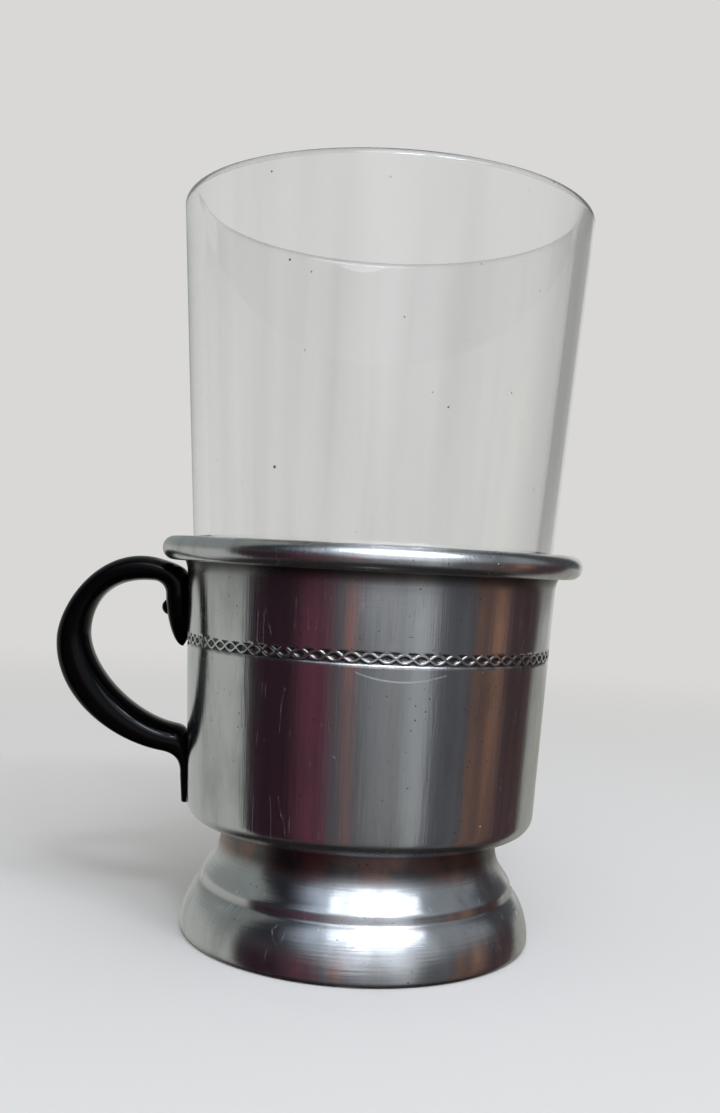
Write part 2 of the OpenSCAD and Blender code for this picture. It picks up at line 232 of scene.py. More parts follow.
@dataclass
class Skin:
    """Closed surface through rings of points.

    Attributes:
        rings: one (n, 3) array of points to a row; n is 1 at a pole.
        along: distance along the profile at each ring's points.
        grime_and_shade: share of soiling and of painted shade at each ring's points.
        wear: share of rubbing at each ring's points.
        closed: whether the last ring joins the first.
    """

    rings: list[Array] = field(default_factory=list)
    along: list[Array] = field(default_factory=list)
    grime_and_shade: list[Array] = field(default_factory=list)
    wear: list[Array] = field(default_factory=list)
    closed: bool = False

    def add(self, points: Array, along: float = 0.0, grime_and_shade: Array | float = 0.0,
            wear: float = 0.0) -> None:
        """Adds one ring.

        Args:
            points: its points, (n, 3).
            along: its distance along the profile.
            grime_and_shade: its share of soiling and painted shade, for all points or for each.
            wear: its share of rubbing.
        """
        self.rings.append(points)
        self.along.append(np.full(len(points), along))
        self.grime_and_shade.append(np.broadcast_to(np.asarray(grime_and_shade, float), (len(points),)))
        self.wear.append(np.full(len(points), wear))

    def faces(self, points: Array) -> list[list[int]]:
        """Faces of all rows, turned so that the skin's volume is positive.

        Args:
            points: the rings' points in one array.

        Returns:
            Point indices of each face.
        """
        counts = [len(r) for r in self.rings]
        starts = np.concatenate([[0], np.cumsum(counts)]).astype(int)
        rows = len(counts) if self.closed else len(counts) - 1
        blocks = []
        for i in range(rows):
            j = (i + 1) % len(counts)
            blocks.append(ring_faces(starts[i], counts[i], starts[j], counts[j]))
        volume = 0.0
        for block in blocks:
            p = points[block]
            volume += np.einsum("ij,ikj->", p[:, 0], np.cross(p[:, 1:-1], p[:, 2:]))
        if volume < 0:
            blocks = [block[:, ::-1] for block in blocks]
        return [f for block in blocks for f in block.tolist()]

    def put_down(self, name: str, body: Body, slot: Slot, stands_for: str,
                 finish: bpy.types.Material) -> bpy.types.Object:
        """Makes the Blender object of this skin.

        Args:
            name: name of the piece.
            body: CAD body it rides on.
            slot: record slot of its finish; not used.
            stands_for: CAD node that it replaces.
            finish: its material.

        Returns:
            The new object, at the origin.
        """
        points = np.vstack(self.rings)
        mesh = bpy.data.meshes.new(name)
        mesh.from_pydata((points * MM).tolist(), [], self.faces(points))
        mesh.polygons.foreach_set("use_smooth", np.ones(len(mesh.polygons), bool))
        for key in ("along", "grime_and_shade", "wear"):
            made = mesh.attributes.new(key, "FLOAT", "POINT")
            made.data.foreach_set("value", np.concatenate(getattr(self, key)).astype(np.float32))
        mesh.materials.append(finish)
        mesh.update()
        piece = bpy.data.objects.new(name, mesh)
        bpy.context.scene.collection.objects.link(piece)
        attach(piece, body.value)
        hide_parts(stands_for)
        return piece


def unit_circle(columns: int) -> Array:
    """Points (cos a, sin a) of evenly spaced angles, (columns, 2)."""
    a = np.linspace(0, 2 * np.pi, columns, endpoint=False)
    return np.stack([np.cos(a), np.sin(a)], axis=1)


def turned(profile: Array, columns: int, closed: bool, grime_and_shade: Array | float = 0.0) -> Skin:
    """Surface of revolution about Z: (r cos a, r sin a, z) for each profile point (r, z).

    Args:
        profile: points (r, z); a point with r = 0 becomes a pole.
        columns: number of points round the axis.
        closed: whether the profile is a closed loop.
        grime_and_shade: soiling and painted shade at each profile point.

    Returns:
        The skin.
    """
    circle = unit_circle(columns)
    skin = Skin(closed=closed)
    darkening = np.broadcast_to(np.asarray(grime_and_shade, float), (len(profile),))
    for (r, z), s, g in zip(profile, run_length(profile), darkening):
        ring = np.column_stack([r * circle, np.full(columns, z)])
        skin.add(ring if r > TINY else ring[:1], s, g)
    return skin


# Finishes


def linear(code: str) -> tuple[float, float, float, float]:
    """Linear RGBA of an sRGB hex colour: ((c + 0.055) / 1.055)^2.4, or c / 12.92 in the darks.

    Args:
        code: the colour as #rrggbb.

    Returns:
        Red, green, blue and an alpha of 1.
    """
    c = np.array([int(code[i : i + 2], 16) for i in (1, 3, 5)]) / 255
    rgb = np.where(c <= 0.04045, c / 12.92, ((c + 0.055) / 1.055) ** 2.4)
    return (*rgb.tolist(), 1.0)


def add(tree: bpy.types.NodeTree, kind: str, inputs: dict[str | int, object] | None = None,
        **settings: object) -> bpy.types.Node:
    """Adds a node to a tree.

    Args:
        tree: the node tree.
        kind: Blender's name of the node, without the ShaderNode in front.
        inputs: for each named or numbered input a value, an output, or a node whose first output in
            use is linked.
        **settings: properties of the node.

    Returns:
        The new node.
    """
    made = tree.nodes.new("ShaderNode" + kind)
    for key, value in settings.items():
        setattr(made, key, value)
    for key, value in (inputs or {}).items():
        if isinstance(value, bpy.types.Node):
            value = next(output for output in value.outputs if output.enabled)
        if isinstance(value, bpy.types.NodeSocket):
            tree.links.new(value, made.inputs[key])
        else:
            made.inputs[key].default_value = value
    return made


def new_material(name: str) -> tuple[bpy.types.Material, bpy.types.NodeTree]:
    """Makes a node material without nodes.

    Args:
        name: name of the material.

    Returns:
        The material and its node tree.
    """
    made = bpy.data.materials.new(name)
    made.use_nodes = True
    made.node_tree.nodes.clear()
    return made, made.node_tree


@dataclass(frozen=True)
class SheetAluminium:
    """Aluminium sheet, drawn or spun, polished and long in use.

    It mirrors the room in bands that are sharp round the axis and drawn out along it. Turned rings,
    upright polishing lines, pits and hairlines break the bands up, handling leaves dull patches,
    oxide stays in the corners, and painted shade darkens it under the rim, on the foot's collar and
    in the chain's recesses.

    Names in mm are lengths, in um heights. A span is where a pattern begins and ends in the range of
    its noise, a stretch shrinks a pattern's height, and a rough is added to the roughness.
    """

    name: str
    ring_mm: float
    ring_um: float
    polish_mm: float
    polish_um: float
    bright: str = "#cdcfd0"
    dull: str = "#b1b3b3"
    oxide: str = "#141316"
    tarnish: str = "#3a281c"
    roughness: float = 0.13
    drawn_out: float = 0.75
    ring_run_mm: float = 14.0
    polish_stretch: float = 0.025
    polish_rough: float = 0.08
    dull_mm: float = 8.0
    dull_stretch: float = 0.4
    dull_span: Span = (0.42, 0.74)
    dull_rough: float = 0.06
    pit_mm: float = 1.25
    pit_um: float = 14.0
    pit_edge: Span = (0.13, 0.04)
    pit_odds: float = 0.18
    pit_odds_step: float = 0.1
    pit_dirt: float = 0.8
    cluster_mm: float = 11.0
    scratch_mm: float = 3.0
    scratch_um: float = 18.0
    scratch_lean: tuple[float, float, float] = (0.25, 0.45, 0.0)
    scratch_stretch: float = 0.1
    scratch_half: float = 0.006
    scratch_part_mm: float = 6.0
    scratch_span: Span = (0.53, 0.63)
    rub_x: float = 5.0
    rub_z: float = 67.6
    rub_r: float = 20.6
    rub_w: float = 7.0
    rub_half: float = 0.13
    rub_rough: float = 0.3
    stain_mm: float = 5.0
    stain_span: Span = (0.4, 0.62)
    soil_rough: float = 0.2
    grain_mm: float = 0.45
    grain_um: float = 14.0
    wear_rough: float = 0.12

    def material(self) -> bpy.types.Material:
        """Builds the node material of this finish.

        Returns:
            The material.
        """
        made, tree = new_material(self.name)
        place = add(tree, "TexCoord").outputs["Object"]
        x, y, z = add(tree, "SeparateXYZ", {0: place}).outputs
        along, grime_and_shade, wear = (add(tree, "Attribute", attribute_name=key).outputs["Fac"]
                              for key in ("along", "grime_and_shade", "wear"))

        # Turned rings run on for a while round the axis and change along the profile. Real ones are
        # about 0.1 mm apart; they are drawn at ring_mm so that they show.
        run = self.ring_run_mm * MM
        row = add(tree, "Math", {0: along, 1: run / self.ring_mm}, operation="MULTIPLY")
        ring_at = add(tree, "CombineXYZ", {0: x, 1: y, 2: row})
        rings = add(tree, "TexNoise", {"Vector": ring_at, "Scale": 1 / run, "Detail": 2.0})

        # Upright polishing lines, forty times as long as they are wide, and wider than real ones so
        # that they show
        line_at = add(tree, "Mapping", {"Vector": place, "Scale": (1.0, 1.0, self.polish_stretch)})
        polish = add(tree, "TexNoise", {"Vector": line_at, "Scale": 1 / (self.polish_mm * MM),
                                        "Detail": 3.0, "Roughness": 0.6})

        # Dull patches where it is handled
        patch_at = add(tree, "Mapping", {"Vector": place, "Scale": (1.0, 1.0, self.dull_stretch)})
        patches = add(tree, "TexNoise", {"Vector": patch_at, "Scale": 1 / (self.dull_mm * MM),
                                         "Detail": 4.0, "Roughness": 0.55})
        patch = add(tree, "MapRange", {"Value": patches, "From Min": self.dull_span[0],
                                       "From Max": self.dull_span[1]}, interpolation_type="SMOOTHSTEP")

        # Pits lie in clusters: small round spots in some of the cells
        cells = add(tree, "TexVoronoi", {"Vector": place, "Scale": 1 / (self.pit_mm * MM)})
        spot = add(tree, "MapRange", {"Value": cells.outputs["Distance"], "From Min": self.pit_edge[0],
                                      "From Max": self.pit_edge[1]})
        cluster = add(tree, "TexNoise", {"Vector": place, "Scale": 1 / (self.cluster_mm * MM),
                                         "Detail": 1.0})
        odds = add(tree, "Math", {0: cells.outputs["Color"], 1: cluster}, operation="MULTIPLY")
        chosen = add(tree, "MapRange", {"Value": odds, "From Min": self.pit_odds,
                                        "From Max": self.pit_odds + self.pit_odds_step})
        pits = add(tree, "Math", {0: spot, 1: chosen}, operation="MULTIPLY")

        # Hairlines: level lines of a noise that is drawn out along a leaning direction, in places
        leaning = add(tree, "Mapping", {"Vector": place, "Rotation": self.scratch_lean,
                                        "Scale": (1.0, 1.0, self.scratch_stretch)})
        swell = add(tree, "TexNoise", {"Vector": leaning, "Scale": 1 / (self.scratch_mm * MM),
                                       "Detail": 1.0})
        level = add(tree, "Math", {0: swell, 1: 0.5, 2: self.scratch_half}, operation="COMPARE")
        parts = add(tree, "TexNoise", {"Vector": place, "Scale": 1 / (self.scratch_part_mm * MM),
                                       "Detail": 1.0})
        kept = add(tree, "MapRange", {"Value": parts, "From Min": self.scratch_span[0],
                                      "From Max": self.scratch_span[1]})
        scratches = add(tree, "Math", {0: level, 1: kept}, operation="MULTIPLY")

        # One rub mark on the front: part of a circle in the plane of x and z
        flat = add(tree, "CombineXYZ", {0: x, 2: z})
        away = add(tree, "VectorMath", {0: flat, 1: (self.rub_x * MM, 0, self.rub_z * MM)},
                   operation="DISTANCE")
        circle = add(tree, "Math", {0: away, 1: self.rub_r * MM, 2: self.rub_half * MM},
                     operation="COMPARE")
        width = add(tree, "Math", {0: x, 1: self.rub_x * MM, 2: self.rub_w * MM}, operation="COMPARE")
        front = add(tree, "Math", {0: y, 1: 0.0}, operation="LESS_THAN")
        part = add(tree, "Math", {0: circle, 1: width}, operation="MULTIPLY")
        ahead = add(tree, "Math", {0: part, 1: front}, operation="MULTIPLY")
        rub = add(tree, "Math", {0: ahead, 1: rings}, operation="MULTIPLY")

        metal = add(tree, "Mix", {0: patch, 6: linear(self.bright), 7: linear(self.dull)},
                    data_type="RGBA")
        # Pits, soiling and painted shade darken the metal towards the colours of oxide and tarnish.
        darkening = add(tree, "Math", {0: pits, 1: self.pit_dirt, 2: grime_and_shade}, operation="MULTIPLY_ADD",
                   use_clamp=True)
        stains = add(tree, "TexNoise", {"Vector": place, "Scale": 1 / (self.stain_mm * MM),
                                        "Detail": 3.0})
        stain = add(tree, "MapRange", {"Value": stains, "From Min": self.stain_span[0],
                                       "From Max": self.stain_span[1]})
        soil_and_shade_colour = add(tree, "Mix", {0: stain, 6: linear(self.oxide), 7: linear(self.tarnish)},
                   data_type="RGBA")
        colour = add(tree, "Mix", {0: darkening, 6: metal, 7: soil_and_shade_colour}, data_type="RGBA")

        rough = self.roughness
        for source, share in ((patch, self.dull_rough), (polish, self.polish_rough),
                              (grime_and_shade, self.soil_rough), (rub, self.rub_rough), (wear, self.wear_rough)):
            rough = add(tree, "Math", {0: source, 1: share, 2: rough}, operation="MULTIPLY_ADD")

        grains = add(tree, "TexNoise", {"Vector": place, "Scale": 1 / (self.grain_mm * MM),
                                        "Detail": 2.0})
        rubbed = add(tree, "Math", {0: grains, 1: wear}, operation="MULTIPLY")
        height = 0.0
        for source, rise in ((rings, self.ring_um), (polish, self.polish_um), (pits, -self.pit_um),
                             (scratches, -self.scratch_um), (rubbed, self.grain_um)):
            height = add(tree, "Math", {0: source, 1: rise, 2: height}, operation="MULTIPLY_ADD")
        bump = add(tree, "Bump", {"Height": height, "Strength": 1.0, "Distance": UM})
        round_axis = add(tree, "Tangent", direction_type="RADIAL", axis="Z")

        shader = add(tree, "BsdfPrincipled", {
            "Base Color": colour, "Metallic": 1.0, "Roughness": rough, "Anisotropic": self.drawn_out,
            "Anisotropic Rotation": 0.25, "Tangent": round_axis, "Normal": bump})
        add(tree, "OutputMaterial", {"Surface": shader})
        return made


@dataclass(frozen=True)
class BlackEnamel:
    """Stoved black enamel on a cast ear.

    It is deep black and looks wet, with the faint orange peel of a dipped coat.
    """

    name: str = "stoved_black_enamel"
    black: str = "#020203"
    thin: str = "#060607"
    ior: float = 1.5
    gloss: float = 0.11
    roughness: float = 0.06
    cloud_mm: float = 7.0
    cloud_rough: float = 0.1
    peel_mm: float = 1.6
    peel_um: float = 2.5

    def material(self) -> bpy.types.Material:
        """Builds the node material of this finish.

        Returns:
            The material.
        """
        made, tree = new_material(self.name)
        place = add(tree, "TexCoord").outputs["Object"]
        cloud = add(tree, "TexNoise", {"Vector": place, "Scale": 1 / (self.cloud_mm * MM),
                                       "Detail": 4.0})
        peel = add(tree, "TexNoise", {"Vector": place, "Scale": 1 / (self.peel_mm * MM), "Detail": 2.0})
        colour = add(tree, "Mix", {0: cloud, 6: linear(self.black), 7: linear(self.thin)},
                     data_type="RGBA")
        rough = add(tree, "Math", {0: cloud, 1: self.cloud_rough, 2: self.roughness},
                    operation="MULTIPLY_ADD")
        height = add(tree, "Math", {0: peel, 1: self.peel_um}, operation="MULTIPLY")
        bump = add(tree, "Bump", {"Height": height, "Strength": 1.0, "Distance": UM})
        shader = add(tree, "BsdfPrincipled", {"Base Color": colour, "Roughness": rough, "IOR": self.ior,
                                              "Specular IOR Level": self.gloss, "Normal": bump})
        add(tree, "OutputMaterial", {"Surface": shader})
        return made


@dataclass(frozen=True)
class ClearGlass:
    """Pressed soda-lime glass.

    It is nearly colourless, greyer where one looks along it, with wiped bands and specks of dust.
    """

    name: str = "clear_soda_lime_glass"
    clear: str = "#fbfcfc"
    wiped: str = "#f4f5f5"
    depth: str = "#aeac9a"
    density: float = 8.0
    ior: float = 1.52
    band_mm: float = 6.0
    band_um: float = 10.0
    band_stretch: float = 0.04
    band_span: Span = (0.4, 0.7)
    dust: str = "#2e2620"
    dust_mm: float = 5.0
    dust_range: float = 0.09
    dust_least: float = -0.034
    mirrored: float = 1.5
    glow: float = 0.055

    def material(self) -> bpy.types.Material:
        """Builds the node material of this finish.

        Returns:
            The material.
        """
        made, tree = new_material(self.name)
        place = add(tree, "TexCoord").outputs["Object"]
        upright = add(tree, "Mapping", {"Vector": place, "Scale": (1.0, 1.0, self.band_stretch)})
        bands = add(tree, "TexNoise", {"Vector": upright, "Scale": 1 / (self.band_mm * MM),
                                       "Detail": 4.0, "Roughness": 0.45})
        band = add(tree, "MapRange", {"Value": bands, "From Min": self.band_span[0],
                                      "From Max": self.band_span[1]}, interpolation_type="SMOOTHSTEP")
        # Specks: the middles of cells, as large as each cell's random colour says, and none in most
        cells = add(tree, "TexVoronoi", {"Vector": place, "Scale": 1 / (self.dust_mm * MM)})
        large = add(tree, "Math", {0: cells.outputs["Color"], 1: self.dust_range, 2: self.dust_least},
                    operation="MULTIPLY_ADD")
        speck = add(tree, "Math", {0: cells.outputs["Distance"], 1: large}, operation="LESS_THAN")
        body = add(tree, "Mix", {0: band, 6: linear(self.clear), 7: linear(self.wiped)},
                   data_type="RGBA")
        colour = add(tree, "Mix", {0: speck, 6: body, 7: linear(self.dust)}, data_type="RGBA")
        height = add(tree, "Math", {0: bands, 1: self.band_um}, operation="MULTIPLY")
        bump = add(tree, "Bump", {"Height": height, "Strength": 1.0, "Distance": UM})
        # Light that is mirrored on and on inside the wall is cut off after a few turns. A faint glow
        # stands in for the rest of it, so that the rim isn't black from above.
        turns = add(tree, "LightPath").outputs["Glossy Depth"]
        late = add(tree, "Math", {0: turns, 1: self.mirrored}, operation="GREATER_THAN")
        glow = add(tree, "Math", {0: late, 1: self.glow}, operation="MULTIPLY")
        made.cycles.emission_sampling = "NONE"
        shader = add(tree, "BsdfPrincipled", {
            "Base Color": colour, "Roughness": 0.0, "IOR": self.ior, "Transmission Weight": 1.0,
            "Normal": bump, "Emission Color": linear(self.clear), "Emission Strength": glow})
        inside = add(tree, "VolumeAbsorption", {"Color": linear(self.depth), "Density": self.density})
        add(tree, "OutputMaterial", {"Surface": shader, "Volume": inside})
        return made


# Pieces


@dataclass(frozen=True)
class Wall:
    """The cup's straight, slightly flaring wall, which the ear and its rivets sit on."""

    low_r: float = 30.3
    neck_r: float = 32.3
    floor_z: float = 19.4
    neck_z: float = 61.5
    sheet: float = 0.6

    @property
    def slope(self) -> float:
        """Rise of the radius with height."""
        return (self.neck_r - self.low_r) / (self.neck_z - self.floor_z)

    @property
    def tilt(self) -> float:
        """Angle of the wall to the axis, in degrees."""
        return float(np.degrees(np.arctan(self.slope)))

    def radius(self, z: Array | float) -> Array | float:
        """Outer radius at height z."""
        return self.low_r + self.slope * (z - self.floor_z)

    def off(self, z: Array | float, out: Array | float) -> Array:
        """Points (x, z) in the plane y = 0 on the ear's side, at a distance from the wall."""
        return np.stack(np.broadcast_arrays(-self.radius(z) - out, z), axis=-1).astype(float)

    def socket(self, z: float) -> Array:
        """4x4 matrix that puts local +Z on the wall's outward normal at height z."""
        turn = Matrix.Rotation(np.radians(-90 - self.tilt), 4, "Y")
        return np.array(Matrix.Translation((-self.radius(z), 0, z)) @ turn)


def corner_centre(r: float, slope: float, z: float, bend: float) -> Span:
    """Centre of the bend between a floor and a wall.

    Args:
        r: radius at which the wall would meet the floor.
        slope: rise of the wall's radius with height.
        z: height of the floor.
        bend: radius of the bend.

    Returns:
        The centre as (r, z).
    """
    tilt = np.arctan(slope)
    return (r + slope * bend * (1 - np.sin(tilt)) - bend * np.cos(tilt), z + bend)


@dataclass
class HolderCup:
    """Cup spun from one sheet: floor, wall with a rolled chain band, neck and a rim rolled outwards."""

    wall: Wall
    bend: float = 3.0
    rim_z: float = 65.6
    flare: float = 1.0
    rim_d: float = 4.1
    curl: float = 300.0
    hole_r: float = 2.03
    neck_pull: float = 0.4
    columns: int = 222
    band_z: float = 50.43
    band_h: float = 1.76
    band_gap: float = 0.4
    ledge_h: float = 0.31
    ledge_slope: float = 0.48
    edge_slope: float = 4.0
    links: int = 74
    link_columns: int = 18
    strand: float = 0.17
    strand_top: float = 0.7
    crown: float = 0.1
    eye_depth: float = 0.24
    eye_fall: float = 0.4
    eye_dirt_and_shade: float = 0.8
    corner_depth: float = 0.2
    corner_fall: float = 0.2
    corner_dirt_and_shade: float = 0.85
    upper_corner: float = 0.7
    strand_edge: Span = (-0.03, 0.1)
    foot_edge: Span = (-0.14, -0.06)
    darkened_depth: float = 0.04
    ledge_dirt: float = 0.6
    ledge_edge: Span = (-0.04, -0.1)
    ledge_waves: tuple[int, int] = (18, 13)
    floor_dirt: float = 0.5
    floor_dirt_h: float = 2.6
    neck_shade: float = 0.65
    neck_shade_span: Span = (-0.6, 2.0)
    neck_haze: float = 0.2
    neck_haze_h: float = 6.0
    curl_dirt: float = 0.85
    curl_margin: float = 0.15
    rim_wear: float = 0.4
    rim_margin: float = 0.1
    rim_wear_span: Span = (1.0, 3.0)

    @property
    def curl_r(self) -> float:
        """Radius of the rolled rim's hollow."""
        return self.rim_d / 2 - self.wall.sheet

    @property
    def rim(self) -> Array:
        """Centre of the rolled rim as (r, z)."""
        return np.array([self.wall.neck_r + self.flare + self.curl_r, self.rim_z])

    def chain(self, u: Array, w: Array) -> tuple[Array, Array]:
        """Relief of the rolled chain.

        Two strands w = +-(half - strand) sin(pi u) cross at every whole u, and d is the distance from
        the nearer one. Its top is crowned: crown d^2. Beyond the strand's half width the metal falls
        in a smooth step, into the eyes between the strands and, more steeply, into the corners outside
        them, which are shallower above the chain than below it. A sloping ledge brings it up to the
        wall below, and a sharp edge above. Soiling and painted shade darken the eyes and corners beside
        the strands, and soiling lies on the ledge in a pattern of whole waves round the wall.

        Args:
            u: place round the wall, in links.
            w: place across the band in mm, from its middle.

        Returns:
            Depth below the wall in mm, and share of soiling and painted shade.
        """
        half = self.band_h / 2
        swing = half - self.strand
        pitch = 2 * np.pi * self.wall.radius(self.band_z) / self.links
        lean = np.hypot(1, swing * np.pi / pitch * np.cos(np.pi * u))
        inward = (swing * np.abs(np.sin(np.pi * u)) - np.abs(w)) / lean
        d = np.abs(inward)
        inside = inward > 0
        corner = np.where(w < 0, 1.0, self.upper_corner) * self.corner_depth
        fall = np.where(inside, self.eye_fall, self.corner_fall)
        start = self.strand_top * self.strand
        depth = np.where(inside, self.eye_depth, corner) * smoothstep(start, start + fall, d)
        depth = depth + self.crown * np.minimum(d, self.strand) ** 2
        depth = np.minimum(depth, (w + half + self.ledge_h) * self.ledge_slope)
        depth = np.clip(np.minimum(depth, (half - w) * self.edge_slope), 0, None)
        # Painted shade with some soiling: the eyes and the corners outside the strands are darkened.
        darkening = np.where(inside, self.eye_dirt_and_shade, self.corner_dirt_and_shade)
        darkening = darkening * smoothstep(self.strand + self.strand_edge[0], self.strand + self.strand_edge[1], d)
        darkening = darkening * smoothstep(-half + self.foot_edge[0], -half + self.foot_edge[1], w)
        darkening = darkening * smoothstep(0.0, self.darkened_depth, depth)
        v, (many, few) = 2 * np.pi * u / self.links, self.ledge_waves
        worn = 0.5 + 0.3 * np.sin(many * v) * np.cos(few * v) + 0.2 * np.sin(2 * np.pi * u)
        worn = worn * smoothstep(-half + self.ledge_edge[0], -half + self.ledge_edge[1], w)
        return depth, np.maximum(darkening, self.ledge_dirt * worn)

    def band_rows(self) -> Array:
        """Places of the band's rows across it in mm, closer together on the ledge.

        Returns:
            Distances from the band's middle, upwards.
        """
        half = self.band_h / 2
        ledge = np.linspace(-half - self.ledge_h, -half, 9)[:-1]
        return np.concatenate([ledge, np.linspace(-half, half, 26)])

    def outer_line(self) -> tuple[Array, Array]:
        """Outer side of the sheet: floor, bend and straight wall, then neck and curl.

        Returns:
            Profile points (r, z) below and above the band.
        """
        w = self.wall
        centre = corner_centre(w.low_r, w.slope, w.floor_z, self.bend)
        low_end, high_end = self.band_rows()[[0, -1]] + self.band_z
        foot_end = centre[1] - self.bend * np.sin(np.radians(w.tilt))
        low_z = np.linspace(foot_end, low_end - self.band_gap, 16)
        high_z = np.linspace(high_end + self.band_gap, w.neck_z, 8)
        below = chained(
            line((self.hole_r, w.floor_z), (centre[0], w.floor_z), 9),
            arc(centre, self.bend, -90, -w.tilt, 13),
            np.stack([w.radius(low_z), low_z], axis=1),
        )
        pull = self.neck_pull * (self.rim_z - w.neck_z)
        inner_r = self.rim[0] - self.curl_r
        above = chained(
            np.stack([w.radius(high_z), high_z], axis=1),
            bezier([(w.neck_r, w.neck_z), (w.neck_r + pull * w.slope, w.neck_z + pull),
                    (inner_r, self.rim_z - pull), (inner_r, self.rim_z)], 13),
            arc(self.rim, self.curl_r, 180, 180 - self.curl, 34),
        )
        return below, above

    def add_rows(self, skin: Skin, points: Array, start: float, outside: bool) -> None:
        """Adds plain rows, with oxide in the lower corner and inside the curl, and painted shade under
        the rim.

        Each row is a circle: (r cos a, r sin a, z).

        Args:
            skin: the cup's skin.
            points: profile points (r, z).
            start: distance along the profile at the first of them.
            outside: whether they lie on the outer side of the sheet.
        """
        circle = unit_circle(self.columns)
        neck, z = self.wall.neck_z, points[:, 1]
        off_rim = np.hypot(*(points - self.rim).T) - self.rim_d / 2
        low, high = self.neck_shade_span
        darkening = self.floor_dirt * smoothstep(self.floor_dirt_h, 0.0, z - self.wall.floor_z)
        # Painted shade under the rolled rim, darkened towards the colour of the oxide.
        darkening += self.neck_shade * smoothstep(neck + low, neck + high, z)
        darkening += self.neck_haze * smoothstep(neck - self.neck_haze_h, neck, z)
        darkening = np.where(off_rim < -self.curl_margin, self.curl_dirt, darkening * outside)
        low, high = self.rim_wear_span
        wear = self.rim_wear * (off_rim < self.rim_margin) * smoothstep(neck + low, neck + high, z)
        for (r, h), s, g, worn in zip(points, start + run_length(points), darkening, wear):
            skin.add(np.column_stack([r * circle, np.full(self.columns, h)]), s, g, worn)

    def add_band(self, skin: Skin, start: float) -> float:
        """Adds the rows of the chain band, in finer columns.

        Each row is a circle of the wall's radius less the relief.

        Args:
            skin: the cup's skin.
            start: distance along the profile at the last row below the band.

        Returns:
            Distance along the profile at the first row above the band.
        """
        circle = unit_circle(self.links * self.link_columns)
        u = np.arange(len(circle)) / self.link_columns
        across = self.band_rows()
        for t in across:
            depth, darkening = self.chain(u, np.full_like(u, t))
            r = self.wall.radius(self.band_z + t) - depth
            ring = np.column_stack([r[:, None] * circle, np.full_like(u, self.band_z + t)])
            skin.add(ring, start + self.band_gap + t - across[0], darkening)
        return start + 2 * self.band_gap + across[-1] - across[0]

    def build(self, finish: bpy.types.Material) -> bpy.types.Object:
        """Makes the cup: its closed profile turned about the axis, with the chain band in it.

        Args:
            finish: the metal.

        Returns:
            The piece.
        """
        below, above = self.outer_line()
        sheet = self.wall.sheet
        inner = moved_left(np.vstack([below, above]), sheet)[::-1]
        end = 180 - self.curl
        lip_c = self.rim + polar(self.curl_r + sheet / 2, end)
        lip = arc(lip_c, sheet / 2, end - 180, end - 360, 8)[1:-1]
        skin = Skin(closed=True)
        self.add_rows(skin, below, 0.0, True)
        run = self.add_band(skin, run_length(below)[-1])
        self.add_rows(skin, above, run, True)
        run += run_length(above)[-1]
        self.add_rows(skin, lip, run, False)
        self.add_rows(skin, inner, run + sheet, False)
        return skin.put_down("cup", Body.HOLDER, Slot.METAL, "holder_cup", finish)


